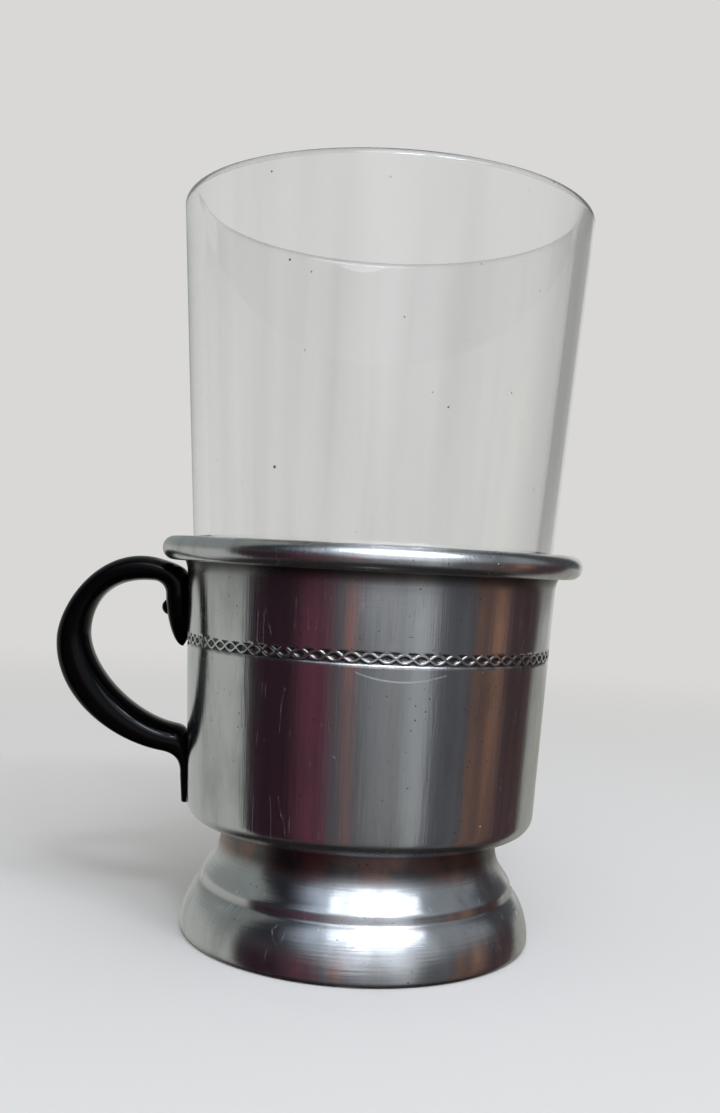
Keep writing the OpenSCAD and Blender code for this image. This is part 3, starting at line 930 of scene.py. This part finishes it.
@dataclass
class Foot:
    """Foot spun from one sheet: top plate, collar, hollow flare, step, swelling skirt, turned-in lip."""

    height: float = 19.4
    sheet: float = 0.7
    hole_r: float = 2.03
    collar_r: float = 24.2
    collar_h: float = 2.7
    collar_bend: float = 0.9
    flare_r: float = 27.1
    step_z: float = 10.1
    step_h: float = 1.5
    step_out: float = 0.3
    skirt_r: float = 30.5
    lip_bend: float = 0.9
    lip_w: float = 1.4
    flare_pull: tuple[float, float, float] = (0.5, 0.6, 0.25)
    skirt_pull: tuple[float, float, float] = (0.5, 0.85, 0.42)
    soft: float = 0.3
    columns: int = 240
    collar_tarnish_and_shade: float = 0.8
    collar_tarnish_and_shade_span: Span = (2.6, 6.0)
    step_dirt: float = 0.15
    step_dirt_h: float = 0.55
    step_dirt_in: float = 0.5
    lip_dirt: float = 0.45
    lip_dirt_span: Span = (1.4, 0.1)
    most_darkening: float = 0.9
    inner_dirt: float = 0.35

    def outer_line(self, soft: bool) -> Array:
        """Outer side of the sheet from the rivet hole to the lip's edge.

        The flare and the skirt are Bezier curves, joined by a straight step.

        Args:
            soft: whether the two corners of the step are rounded.

        Returns:
            Profile points (r, z).
        """
        collar_z = self.height - self.collar_h
        top = np.array([self.flare_r, self.step_z])
        low = np.array([self.flare_r + self.step_out, self.step_z - self.step_h])
        wide, tall = self.flare_r - self.collar_r, collar_z - self.step_z
        down, out, up = self.flare_pull
        flare = bezier([(self.collar_r, collar_z), (self.collar_r, collar_z - down * tall),
                        (self.collar_r + out * wide, self.step_z + up * tall), top], 30)
        out, down, up = self.skirt_pull
        skirt = bezier([low, (low[0] + out * (self.skirt_r - low[0]), low[1] * down),
                        (self.skirt_r, self.lip_bend + up * (low[1] - self.lip_bend)),
                        (self.skirt_r, self.lip_bend)], 36)
        step = line(tuple(top), tuple(low), 6)
        middle = [flare, step, skirt]
        if soft:
            flare = flare[np.linalg.norm(flare - top, axis=1) > self.soft]
            skirt = skirt[np.linalg.norm(skirt - low, axis=1) > self.soft]
            away = np.minimum(np.linalg.norm(step - top, axis=1), np.linalg.norm(step - low, axis=1))
            step = step[away >= self.soft]
            upper = rounded(flare[-1], top, step[0], 6)
            lower = rounded(step[-1], low, skirt[0], 6)
            middle = [flare, upper, step, lower, skirt]
        plate_r, bend_z = self.collar_r - self.collar_bend, self.height - self.collar_bend
        turn_c = (self.skirt_r - self.lip_bend, self.lip_bend)
        return chained(
            line((self.hole_r, self.height), (plate_r, self.height), 9),
            arc((plate_r, bend_z), self.collar_bend, 90, 0, 9),
            line((self.collar_r, bend_z), (self.collar_r, collar_z), 4),
            *middle,
            arc(turn_c, self.lip_bend, 0, -90, 10),
            line((turn_c[0], 0.0), (turn_c[0] - self.lip_w, 0.0), 3),
        )

    def build(self, finish: bpy.types.Material) -> bpy.types.Object:
        """Makes the foot by turning its closed sheet profile about the axis.

        Tarnish and painted shade lie on the collar under the cup, and soiling in the step's lower
        corner and on the lip.

        Args:
            finish: the metal.

        Returns:
            The piece.
        """
        outer = self.outer_line(True)
        inner = moved_left(self.outer_line(False), -self.sheet)[::-1]
        r, z = outer.T
        off_step = (z - self.step_z + self.step_h) / self.step_dirt_h
        # Painted shade under the cup's overhang, mixed with tarnish, on the collar and the top of the
        # flare.
        low, high = self.collar_tarnish_and_shade_span
        darkening = self.collar_tarnish_and_shade * smoothstep(self.step_z + low, self.step_z + high, z)
        darkening += self.step_dirt * np.exp(-(off_step**2)) * (r > self.flare_r - self.step_dirt_in)
        darkening += self.lip_dirt * smoothstep(*self.lip_dirt_span, z)
        darkening = np.clip(darkening, 0, self.most_darkening)
        grime_and_shade = np.concatenate([darkening, np.full(len(inner), self.inner_dirt)])
        skin = turned(np.vstack([outer, inner]), self.columns, True, grime_and_shade)
        return skin.put_down("foot_shell", Body.HOLDER, Slot.METAL, "foot", finish)


@dataclass
class EarHandle:
    """Cast ear: a leaf on the wall under the rim bends out into the ear, which ends in a thin tail.

    The ear runs between two lines in the plane y = 0, its outer side and its finger side, joined by
    superelliptic sections.
    """

    wall: Wall
    rim_z: float = 65.6
    rim_c: float = 34.75
    rim_d: float = 4.1
    reach: float = 23.4
    t_top: float = 4.0
    t_mid: float = 5.7
    t_low: float = 4.6
    w_root: float = 8.6
    w_mid: float = 7.4
    shoulder_drop: float = 2.2
    shoulder_out: float = 0.4
    shoulder_slope: float = 15.0
    bulge_z: float = 48.5
    bulge_lift: float = 1.6
    heel_z: float = 29.8
    heel_out: float = 4.6
    heel_slope: float = 8.0
    arch_slope: float = 3.0
    root_slope: float = 8.0
    root_share: float = 0.43
    leaf_t: float = 4.0
    leaf_w: float = 8.4
    leaf_bend_z: float = 57.2
    leaf_len: float = 9.0
    leaf_lift: float = 1.1
    leaf_tip: float = 0.06
    tail_t: float = 1.05
    tail_root_t: float = 1.3
    tail_w: float = 7.4
    tail_end_z: float = 21.2
    tail_len: float = 4.8
    sink: float = 0.6
    seat: float = 0.03
    edge: float = 0.22
    outer_pulls: tuple[Span, ...] = ((0.59, 0.39), (0.47, 0.27), (0.38, 0.34), (0.41, 0.5))
    finger_pulls: tuple[Span, ...] = ((0.39, 0.39), (0.58, 0.31), (0.27, 0.36), (0.27, 0.56))
    rows: tuple[int, ...] = (40, 26, 64, 64, 28, 14)
    sides: int = 56
    fat: float = 2.5
    ridge: float = 2.3
    flat: float = 3.0
    skew: float = 1.6

    def lines(self) -> tuple[Array, Array]:
        """Works out the two sides of the ear from the leaf's tip to the tail's end.

        Over the leaf, s falls from the tip to the bend: the back leaves the wall by s^4 and the face
        rises by the square root of 1 - s^1.8. Bezier curves follow, through the shoulder, the bulge
        and the heel, and the tail is straight.

        Returns:
            Outer side and finger side, points (x, z) of each section.
        """
        w, n = self.wall, self.rows
        s = self.leaf_shares()
        leaf_z = self.leaf_bend_z - s * self.leaf_len
        back = -self.sink + (self.sink + self.leaf_lift) * s**4
        face = self.leaf_lift + (self.leaf_t - self.leaf_lift) * np.sqrt(1 - s**1.8)
        tail_top = self.tail_end_z + self.tail_len
        tail_z = np.linspace(tail_top, self.tail_end_z + self.edge, n[5])
        thinner = (tail_z - self.tail_end_z) / self.tail_len
        tail_face = self.tail_t + (self.tail_root_t - self.tail_t) * thinner

        shoulder_x = -self.rim_c - self.rim_d / 2 - self.shoulder_out
        shoulder = np.array([shoulder_x, self.rim_z - self.shoulder_drop])
        bulge = w.off(self.bulge_z, self.reach)
        arch = shoulder - polar(self.t_top, 90 - self.shoulder_slope)
        outer_at = [
            (w.off(self.leaf_bend_z, -self.sink), 90),
            (shoulder, 180 - self.shoulder_slope),
            (bulge, -90),
            (w.off(self.heel_z, self.heel_out), -self.heel_slope),
            (w.off(tail_top, self.tail_root_t), -90),
        ]
        finger_at = [
            (w.off(self.leaf_bend_z, self.leaf_t), 90),
            (arch, 180 - self.arch_slope),
            (bulge + np.array([self.t_mid, self.bulge_lift]), -90),
            (w.off(self.heel_z + self.t_low, self.root_share * self.t_low), -self.root_slope),
            (w.off(tail_top, -self.sink), -90),
        ]
        outer = swept(outer_at, self.outer_pulls, n[1:5])
        finger = swept(finger_at, self.finger_pulls, n[1:5])
        outer = np.vstack([w.off(leaf_z, back), *outer, w.off(tail_z, tail_face)])
        finger = np.vstack([w.off(leaf_z, face), *finger, w.off(tail_z, -self.sink)])
        return outer[self.kept()], finger[self.kept()]

    def leaf_shares(self) -> Array:
        """Shares of the leaf's length from its bend, closer together at the tip."""
        return 1 - np.linspace(self.leaf_tip, 1, self.rows[0]) ** 2

    def kept(self) -> Array:
        """Which sections stay: the first of each part but the first lies on the one before.

        Returns:
            True for each section that stays.
        """
        keep = np.ones(sum(self.rows), bool)
        keep[np.cumsum(self.rows)[:-1]] = False
        return keep

    def sections(self) -> tuple[Array, Array, Array]:
        """Works out the sections, which change by smooth steps from part to part.

        They are fat ovals at the leaf, ridged and skewed down the lower limb, and flat at the tail.

        Returns:
            Width, exponent and skew of each section.
        """
        n, keep = self.rows, self.kept()
        ramp = [smoothstep(0, 1, np.linspace(0, 1, k)) for k in n]
        mid = 0.5 * (self.fat + self.ridge)
        wide = (self.leaf_w, self.leaf_w, self.w_root, self.w_mid, self.w_root,
                self.tail_w, self.tail_w)
        power = (self.fat, self.fat, self.fat, mid, self.ridge, self.flat, self.flat)
        skew = (1.0, 1.0, 1.0, 1.0, self.skew, 1.0, 1.0)
        width, exponent, lean = (
            np.concatenate([a + (b - a) * t for a, b, t in zip(ends, ends[1:], ramp)])
            for ends in (wide, power, skew)
        )
        width[: n[0]] = self.leaf_w * (1 - self.leaf_shares() ** 2)
        return width[keep], exponent[keep], lean[keep]

    def build(self, finish: bpy.types.Material) -> bpy.types.Object:
        """Makes the ear, rounds the tail's end off and lays its wall side on the cup.

        A section's point at the angle a is outer + (finger - outer)((1 + C) / 2)^skew, with
        y = S width / 2, where C and S are cos a and sin a to the power 2 / exponent with their signs.
        Points inside the wall are moved out to it along the radius.

        Args:
            finish: the enamel.

        Returns:
            The piece.
        """
        outer, finger = self.lines()
        width, power, skew = self.sections()
        end = np.radians(np.linspace(0, 90, 6)[1:])
        inset = self.edge * (1 - np.cos(end))
        drop = np.stack([0 * end, -self.edge * np.sin(end)], axis=1)
        outer = np.vstack([outer, outer[-1] + drop + inset[:, None] * np.array([1.0, 0.0])])
        finger = np.vstack([finger, finger[-1] + drop])
        width = np.concatenate([width, width[-1] - 2 * inset])
        power = np.concatenate([power, np.full(len(end), power[-1])])
        skew = np.concatenate([skew, np.full(len(end), skew[-1])])

        a = 2 * np.pi * (np.arange(self.sides) + 0.5) / self.sides
        c, s = np.cos(a), np.sin(a)
        bend = 2 / power[:, None]
        share = ((1 + np.sign(c) * np.abs(c) ** bend) / 2) ** skew[:, None]
        x = outer[:, :1] + (finger - outer)[:, :1] * share
        z = outer[:, 1:] + (finger - outer)[:, 1:] * share
        y = width[:, None] / 2 * np.sign(s) * np.abs(s) ** bend
        wall_r = self.wall.radius(np.minimum(z, self.wall.neck_z)) + self.seat
        grow = np.maximum(wall_r / np.hypot(x, y), 1.0)
        rings = np.stack([x * grow, y * grow, z], axis=2)
        skin = Skin()
        skin.add(rings[0].mean(axis=0, keepdims=True))
        for ring in rings:
            skin.add(ring)
        skin.add(rings[-1].mean(axis=0, keepdims=True))
        return skin.put_down("ear", Body.HOLDER, Slot.ENAMEL, "handle", finish)


@dataclass
class WallRivet:
    """Rivet through the cup's wall: a flat formed head inside, the shank, and a head on the ear."""

    wall: Wall
    z: float
    name: str
    stands_for: str
    shank_r: float = 1.0
    inner_r: float = 1.7
    inner_h: float = 0.3
    gap: float = 0.05
    soft: float = 0.12
    columns: int = 48

    def outer_head(self) -> Array:
        """Outline of the head on the ear, from the shank to the axis."""
        raise NotImplementedError

    def build(self, finish: bpy.types.Material) -> bpy.types.Object:
        """Makes the rivet by turning its outline about the wall's normal.

        Args:
            finish: the enamel.

        Returns:
            The piece.
        """
        inner_wall = self.wall.radius(self.z) - self.wall.sheet
        hollow = self.inner_r**2 / (2 * (inner_wall - self.inner_r))
        under = -self.wall.sheet - hollow - self.gap
        low = under - self.inner_h
        profile = chained(
            line((0, low), (self.inner_r - self.soft, low), 4),
            arc((self.inner_r - self.soft, low + self.soft), self.soft, -90, 0, 5),
            line((self.inner_r, under), (self.shank_r, under), 3),
            self.outer_head(),
        )
        skin = turned(profile, self.columns, False)
        place = self.wall.socket(self.z)
        skin.rings = [ring @ place[:3, :3].T + place[:3, 3] for ring in skin.rings]
        return skin.put_down(self.name, Body.HOLDER, Slot.ENAMEL, self.stands_for, finish)


@dataclass
class DomeRivet(WallRivet):
    """Upper rivet, whose domed head stands on the leaf."""

    head_r: float = 1.45
    head_h: float = 1.3
    seat_z: float = 3.55
    seat_in: float = 0.1

    def outer_head(self) -> Array:
        """Shank up to the seat, then the arc of a ball through the head's edge and top.

        Returns:
            Outline points (r, z).
        """
        ball = (self.head_h**2 + self.head_r**2) / (2 * self.head_h)
        start = np.degrees(np.arcsin((self.head_h - ball) / ball))
        dome = arc((0, self.seat_z + self.head_h - ball), ball, -start, 90, 14)
        dome[-1, 0] = 0.0
        seat = [(self.shank_r, self.seat_z), (self.head_r - self.seat_in, self.seat_z)]
        return np.vstack([seat, dome])


@dataclass
class FlushRivet(WallRivet):
    """Lower rivet, whose countersunk head lies flush in the tail."""

    head_r: float = 1.6
    face_z: float = 1.2
    cone_h: float = 0.5
    crown_r: float = 8.06
    crown_drop: float = 8.0
    crown_start: float = 78.6
    edge_in: float = 0.02
    edge_h: float = 0.14

    def outer_head(self) -> Array:
        """Shank, countersunk cone and a slightly crowned face with a softened edge.

        Returns:
            Outline points (r, z).
        """
        crown = arc((0, self.face_z - self.crown_drop), self.crown_r, self.crown_start, 90, 6)
        crown[-1, 0] = 0.0
        cone = [(self.shank_r, self.face_z - self.cone_h),
                (self.head_r - self.edge_in, self.face_z - self.edge_h)]
        return np.vstack([cone, crown])


@dataclass
class FootRivet:
    """Rivet on the axis that clinches the foot to the cup's floor, with a low head on each side."""

    shank_r: float = 2.0
    head_r: float = 4.5
    head_h: float = 1.0
    flat_in: float = 1.9
    edge_in: float = 0.05
    edge_h: float = 0.06
    side: float = 0.35
    round_up: float = 0.85
    round_in: float = 1.0
    peak: float = 0.02
    floor_top: float = 20.0
    plate_under: float = 18.7
    columns: int = 72
    darkening: float = 0.15

    def build(self, finish: bpy.types.Material) -> bpy.types.Object:
        """Makes the rivet by turning the outlines of its two mirrored heads about the axis.

        Args:
            finish: the metal.

        Returns:
            The piece.
        """
        r, top, side = self.head_r, self.head_h, self.side * self.head_h
        flat_r = r - self.flat_in
        head = chained(
            line((self.shank_r, 0), (r - self.edge_in, 0), 3),
            line((r, self.edge_h), (r, side), 3),
            bezier([(r, side), (r, self.round_up * top), (r - self.round_in, top), (flat_r, top)], 9),
            line((flat_r, top), (0, top + self.peak), 4),
        )
        low = head * [1, -1] + [0, self.plate_under]
        profile = np.vstack([low[::-1], head + [0, self.floor_top]])
        skin = turned(profile, self.columns, False, self.darkening)
        return skin.put_down("foot_rivet_head", Body.HOLDER, Slot.METAL, "foot_rivet", finish)


@dataclass
class TeaGlass:
    """Plain tapering tumbler with a thick base, a hollow under it and a fire-rounded rim."""

    base_z: float = 20.05
    mouth_z: float = 126.4
    neck_r: float = 31.15
    neck_z: float = 61.5
    low_r: float = 28.0275
    low_z: float = 20.0
    thick: float = 2.8
    base_t: float = 4.4
    bend: float = 3.5
    inner_bend: float = 5.0
    ring_w: float = 3.5
    hollow_h: float = 2.2
    columns: int = 224

    @property
    def slope(self) -> float:
        """Rise of the radius with height."""
        return (self.neck_r - self.low_r) / (self.neck_z - self.low_z)

    def radius(self, z: Array | float) -> Array | float:
        """Outer radius at height z."""
        return self.low_r + self.slope * (z - self.low_z)

    def build(self, finish: bpy.types.Material) -> bpy.types.Object:
        """Makes the tumbler by turning its outline about the axis.

        The outline runs from the hollow's centre over the rim to the middle of the inner floor.

        Args:
            finish: the glass.

        Returns:
            The piece.
        """
        tilt = float(np.degrees(np.arctan(self.slope)))
        floor_z = self.base_z + self.base_t
        hollow_r = self.radius(self.base_z) - self.bend - self.ring_w
        ball = (hollow_r**2 + self.hollow_h**2) / (2 * self.hollow_h)
        spread = float(np.degrees(np.arcsin(hollow_r / ball)))
        foot_c = corner_centre(self.radius(self.base_z), self.slope, self.base_z, self.bend)
        inner_c = corner_centre(self.radius(floor_z) - self.thick, self.slope, floor_z, self.inner_bend)
        lip = self.thick / 2
        lip_c = (self.radius(self.mouth_z - lip) - lip, self.mouth_z - lip)
        under = arc((0, self.base_z + self.hollow_h - ball), ball, 90, 90 - spread, 18)
        under[0, 0] = 0.0
        foot_bend = arc(foot_c, self.bend, -90, -tilt, 14)
        rim = arc(lip_c, lip, -tilt, 180 - tilt, 18)
        inner_bend = arc(inner_c, self.inner_bend, -tilt, -90, 16)
        profile = chained(
            under,
            foot_bend,
            line(tuple(foot_bend[-1]), tuple(rim[0]), 26),
            rim,
            line(tuple(rim[-1]), tuple(inner_bend[0]), 26),
            inner_bend,
            line(tuple(inner_bend[-1]), (0, floor_z), 8),
        )
        skin = turned(profile, self.columns, False)
        return skin.put_down("tumbler", Body.GLASS, Slot.GLASS, "tea_glass", finish)


# Stage


def towards(azimuth: Array | float, elevation: Array | float) -> Array:
    """Directions (sin a cos e, -cos a cos e, sin e); a is 0 on the camera's side, e on the level."""
    a, e = np.radians(azimuth), np.radians(elevation)
    return np.stack([np.sin(a) * np.cos(e), -np.cos(a) * np.cos(e), np.sin(e)], axis=-1)


@dataclass(frozen=True)
class Screen:
    """Cloth hung in the round that only mirrors see, with its edges in degrees.

    Left and right are measured from the camera's side, to the right; low and high from the horizon.
    Each wave of its folds has a height, a number of turns and a start.
    """

    colour: str
    left: float
    right: float
    low: float
    high: float
    soft: float = 3.0
    soft_up: float = 7.0
    fold: str | None = None
    fold_span: Span = (-0.2, 1.0)
    waves: tuple[tuple[float, int, int], ...] = (
        (0.5, 31, 1), (0.45, 47, 2), (0.3, 73, 0), (0.35, 137, 0))

    def tone(self, azimuth: Array) -> Array:
        """Colour round the cloth: narrow folds of the second colour where the sum of the waves is high.

        Args:
            azimuth: directions in degrees.

        Returns:
            Linear RGBA of each direction.
        """
        a = np.radians(azimuth)
        wave = sum(height * np.sin(turns * a + start) for height, turns, start in self.waves)
        share = smoothstep(*self.fold_span, wave)[..., None]
        cloth, fold = (np.array(linear(c)) for c in (self.colour, self.fold or self.colour))
        return cloth + (fold - cloth) * share

    def cover(self, azimuth: Array, elevation: Array) -> Array:
        """Share of the cloth in each direction: the product of soft steps at its four edges.

        Args:
            azimuth: directions to the right, in degrees.
            elevation: directions upwards, in degrees.

        Returns:
            Shares from 0 to 1.
        """
        across = smoothstep(self.left - self.soft, self.left + self.soft, azimuth)
        across = across * (1 - smoothstep(self.right - self.soft, self.right + self.soft, azimuth))
        up = smoothstep(self.low - self.soft_up, self.low + self.soft_up, elevation)
        over = smoothstep(self.high - self.soft_up, self.high + self.soft_up, elevation)
        return across * up * (1 - over)


@dataclass(frozen=True)
class Lamp:
    """Soft oval light that faces the object.

    Attributes:
        name: name of the light.
        azimuth: degrees to the right of the camera's side.
        elevation: degrees above the horizon.
        away: distance from the object in metres.
        size: width and height in metres.
        radiance: brightness of its face, where 1 is white.
        colour: colour of its light.
        aim_z: height that it faces, in metres.
    """

    name: str
    azimuth: float
    elevation: float
    away: float
    size: Span
    radiance: float
    colour: str = "#f1f6ff"
    aim_z: float = 0.05

    def hang(self) -> None:
        """Makes the light. Its power is radiance times pi times the area of the oval, pi/4 wide high."""
        light = bpy.data.lights.new(self.name, "AREA")
        light.shape = "ELLIPSE"
        light.size, light.size_y = self.size
        light.color = linear(self.colour)[:3]
        light.energy = self.radiance * np.pi**2 / 4 * self.size[0] * self.size[1]
        back = Vector(towards(self.azimuth, self.elevation))
        made = bpy.data.objects.new(self.name, light)
        facing = back.to_track_quat("Z", "Y").to_matrix().to_4x4()
        place = Vector((0, 0, self.aim_z)) + self.away * back
        made.matrix_world = Matrix.Translation(place) @ facing
        made.visible_camera = False
        bpy.context.scene.collection.objects.link(made)


@dataclass
class Studio:
    """Pale floor that melts into a pale surround, soft lights, and cloths that only mirrors see.

    Spans are in metres on the floor and in parts of a direction's length in the surround.
    """

    pale: str = "#d9d8d6"
    shade: str = "#a9a8a7"
    shade_begins: Span = (0.2, 0.6)
    shade_ends: Span = (0.7, 0.85)
    ceiling: str = "#7d7a76"
    ceiling_span: Span = (0.46, 0.64)
    ambient: float = 0.56
    paper: str = "#dddcda"
    paper_grain_mm: float = 10 / 9
    paper_bump: float = 0.1
    paper_mm: float = 0.05
    floor_r: float = 0.9
    floor_sides: int = 96
    floor_fade: Span = (0.05, 0.6)
    tent_r: float = 1.3
    tent_top: float = 88.0
    tent_rows: int = 89
    tent_columns: int = 720
    lens: float = 37.97
    sensor: float = 36.0
    near: float = 0.01
    roll: float = 3.0
    camera_mm: tuple[float, float, float] = (-2.2, -208.7, 65.7)
    lamps: tuple[Lamp, ...] = (
        Lamp("softbox", 20, 52, 0.85, (0.9, 0.66), 2.3),
        Lamp("left pane", 9, 48, 0.84, (0.2, 0.1), 22.0),
        Lamp("right pane", 34, 48, 0.84, (0.2, 0.1), 22.0),
    )
    screens: tuple[Screen, ...] = (
        Screen("#babcb7", -174, -76, -40, 90),
        Screen("#8f9593", -174, -84, 8, 90),
        Screen("#23252c", -82, -24, 12, 95, soft=7),
        Screen("#a9b2ba", -34, 60, 20, 90, soft=9),
        Screen("#92979d", 58, 112, 10, 90, soft=7),
        Screen("#dfebff", -43, 53, 32, 90, soft=19),
        Screen("#4a4c4f", 108, 150, 0, 90, soft=5),
        Screen("#525358", -80, 127, -40, 14, fold="#606065"),
        Screen("#2a1620", -78, -36, -40, 14, soft=2.5, fold="#35202a"),
        Screen("#54303c", -43, -21, -40, 14, soft=5, fold="#703a48"),
        Screen("#7c7e7f", 2, 30, -40, 16, soft=10, fold="#878888"),
        Screen("#a2a4a5", 25, 40, -40, 16, soft=5),
        Screen("#5c4b4a", 67, 93, -40, 12, soft=4, fold="#8c644e"),
        Screen("#43363a", 93, 127, -40, 10, soft=4, fold="#5f4540"),
        Screen("#9c7560", 80, 89, -9, 8, soft=3, soft_up=2),
        Screen("#f2f7ff", -10, 38, 0, 26, soft=12, soft_up=5),
        Screen("#a8604f", -13, -9, -11, 4, soft=1.5, soft_up=2),
        Screen("#a8604f", -10, -7, -30, -17, soft=1.5, soft_up=2),
        Screen("#ffb2a6", -8, -5, 3, 11, soft=1, soft_up=2),
        Screen("#ffb2a6", 12, 14, 2, 10, soft=1, soft_up=2),
        Screen("#a6a69f", 125, 176, -40, -3, soft=4, soft_up=2),
        Screen("#262220", -180, 180, -90, -38, soft_up=8),
    )

    def world(self) -> None:
        """Sets the world: an even soft light, with the pale colour for what is seen.

        Above it is a darker ceiling and, through the glass only, a grey panel at the right.
        """
        made = bpy.data.worlds.new("studio")
        made.use_nodes = True
        tree = made.node_tree
        tree.nodes.clear()
        ray = add(tree, "LightPath").outputs
        shiny = add(tree, "Math", {0: ray["Is Glossy Ray"], 1: ray["Is Transmission Ray"]},
                    operation="MAXIMUM")
        seen = add(tree, "Math", {0: ray["Is Camera Ray"], 1: shiny}, operation="MAXIMUM")
        way = add(tree, "TexCoord").outputs["Generated"]
        x, _, z = add(tree, "SeparateXYZ", {0: way}).outputs
        up = add(tree, "MapRange", {"Value": z, "From Min": self.ceiling_span[0],
                                    "From Max": self.ceiling_span[1]})
        begun, ended = (add(tree, "MapRange", {"Value": x, "From Min": low, "From Max": high},
                            interpolation_type="SMOOTHSTEP")
                        for low, high in (self.shade_begins, self.shade_ends))
        panel = add(tree, "Math", {0: begun, 1: ended}, operation="SUBTRACT")
        aside = add(tree, "Math", {0: panel, 1: ray["Is Transmission Ray"]}, operation="MULTIPLY")
        level = add(tree, "Mix", {0: aside, 6: linear(self.pale), 7: linear(self.shade)},
                    data_type="RGBA")
        room = add(tree, "Mix", {0: up, 6: level, 7: linear(self.ceiling)}, data_type="RGBA")
        light = add(tree, "Background", {"Color": linear("#ffffff"), "Strength": self.ambient})
        back = add(tree, "Background", {"Color": room, "Strength": 1.0})
        both = add(tree, "MixShader", {0: seen, 1: light, 2: back})
        add(tree, "OutputWorld", {"Surface": both})
        bpy.context.scene.world = made

    def staged(self, name: str, points: Array, faces: list[list[int]],
               finish: bpy.types.Material) -> bpy.types.Object:
        """Puts down an object that isn't part of the holder.

        Args:
            name: name of the object.
            points: its points in metres, (n, 3).
            faces: point indices of its faces.
            finish: its material.

        Returns:
            The object.
        """
        mesh = bpy.data.meshes.new(name)
        mesh.from_pydata(points.tolist(), [], faces)
        mesh.materials.append(finish)
        made = bpy.data.objects.new(name, mesh)
        bpy.context.scene.collection.objects.link(made)
        return made

    def floor(self) -> None:
        """Lays the floor: a disc of matt paper that fades out with the distance from the axis."""
        finish, tree = new_material("matt_paper")
        place = add(tree, "TexCoord").outputs["Object"]
        away = add(tree, "VectorMath", {0: place}, operation="LENGTH")
        gone = add(tree, "MapRange", {"Value": away, "From Min": self.floor_fade[0],
                                      "From Max": self.floor_fade[1]}, interpolation_type="SMOOTHSTEP")
        grain = add(tree, "TexNoise", {"Vector": place, "Scale": 1 / (self.paper_grain_mm * MM),
                                       "Detail": 3.0})
        bump = add(tree, "Bump", {"Height": grain, "Strength": self.paper_bump,
                                  "Distance": self.paper_mm * MM})
        matt = add(tree, "BsdfDiffuse", {"Color": linear(self.paper), "Normal": bump})
        clear = add(tree, "BsdfTransparent")
        both = add(tree, "MixShader", {0: gone, 1: matt, 2: clear})
        add(tree, "OutputMaterial", {"Surface": both})
        disc = np.pad(self.floor_r * unit_circle(self.floor_sides), ((0, 0), (0, 1)))
        made = self.staged("floor", disc, [list(range(self.floor_sides))], finish)
        made.visible_glossy = False

    def tent(self) -> None:
        """Hangs the screens as a ball round the object, painted over each other in order."""
        finish, tree = new_material("screen_cloth")
        cloth = add(tree, "Attribute", attribute_name="cloth").outputs
        glow = add(tree, "Emission", {"Color": cloth["Color"], "Strength": 1.0})
        clear = add(tree, "BsdfTransparent")
        both = add(tree, "MixShader", {0: cloth["Alpha"], 1: clear, 2: glow})
        add(tree, "OutputMaterial", {"Surface": both})
        n = self.tent_columns
        azimuth = np.linspace(-180, 180, n, endpoint=False)
        elevation = np.linspace(-self.tent_top, self.tent_top, self.tent_rows)
        el, az = np.meshgrid(elevation, azimuth, indexing="ij")
        paint = np.zeros((*az.shape, 4))
        for screen in self.screens:
            paint += (screen.tone(az) - paint) * screen.cover(az, el)[..., None]
        paint[..., :3] /= np.maximum(paint[..., 3:], TINY)
        faces = np.vstack([ring_faces(i * n, n, (i + 1) * n, n) for i in range(self.tent_rows - 1)])
        points = self.tent_r * towards(az, el)
        made = self.staged("tent", points.reshape(-1, 3), faces.tolist(), finish)
        held = made.data.attributes.new("cloth", "FLOAT_COLOR", "POINT")
        held.data.foreach_set("color", paint.astype(np.float32).ravel())
        made.visible_camera = made.visible_diffuse = made.visible_transmission = False
        made.visible_shadow = made.visible_volume_scatter = False

    def camera(self) -> None:
        """Sets the camera level with the rim, turned a little about its own axis."""
        data = bpy.data.cameras.new("camera")
        data.lens, data.sensor_width = self.lens, self.sensor
        data.clip_start = self.near
        made = bpy.data.objects.new("camera", data)
        c, s = np.cos(np.radians(self.roll)), np.sin(np.radians(self.roll))
        rolled = Matrix(((c, -s, 0, 0), (0, 0, -1, 0), (s, c, 0, 0), (0, 0, 0, 1)))
        made.matrix_world = Matrix.Translation(Vector(self.camera_mm) * MM) @ rolled
        bpy.context.scene.collection.objects.link(made)
        bpy.context.scene.camera = made

    def build(self) -> None:
        """Sets up the world, floor, screens, lights and camera."""
        bpy.context.scene.view_settings.view_transform = "Standard"
        self.world()
        self.floor()
        self.tent()
        for lamp in self.lamps:
            lamp.hang()
        self.camera()


def main() -> None:
    """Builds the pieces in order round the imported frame."""
    logging.basicConfig(level=logging.INFO, format="%(message)s")
    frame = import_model()
    LOG.info("frame: %s", ", ".join(sorted(frame["nodes"])))
    drawn = SheetAluminium("drawn_aluminium", ring_mm=0.5, ring_um=4, polish_mm=0.5,
                           polish_um=16).material()
    spun = SheetAluminium("spun_aluminium", ring_mm=0.45, ring_um=32, polish_mm=1.2, polish_um=3,
                          roughness=0.17, drawn_out=0.88, pit_odds=0.3, tarnish="#6e3a2a").material()
    enamel = BlackEnamel().material()
    wall = Wall()
    pieces = [
        HolderCup(wall).build(drawn),
        Foot().build(spun),
        FootRivet().build(spun),
        EarHandle(wall).build(enamel),
        DomeRivet(wall, 55.2, "upper_rivet_head", "upper_rivet").build(enamel),
        FlushRivet(wall, 24.2, "lower_rivet_head", "lower_rivet").build(enamel),
        TeaGlass().build(ClearGlass().material()),
    ]
    for piece in pieces:
        mesh = piece.data
        LOG.info("%s: %d points, %d faces", piece.name, len(mesh.vertices), len(mesh.polygons))
    Studio().build()


if __name__ == "__main__":
    main()
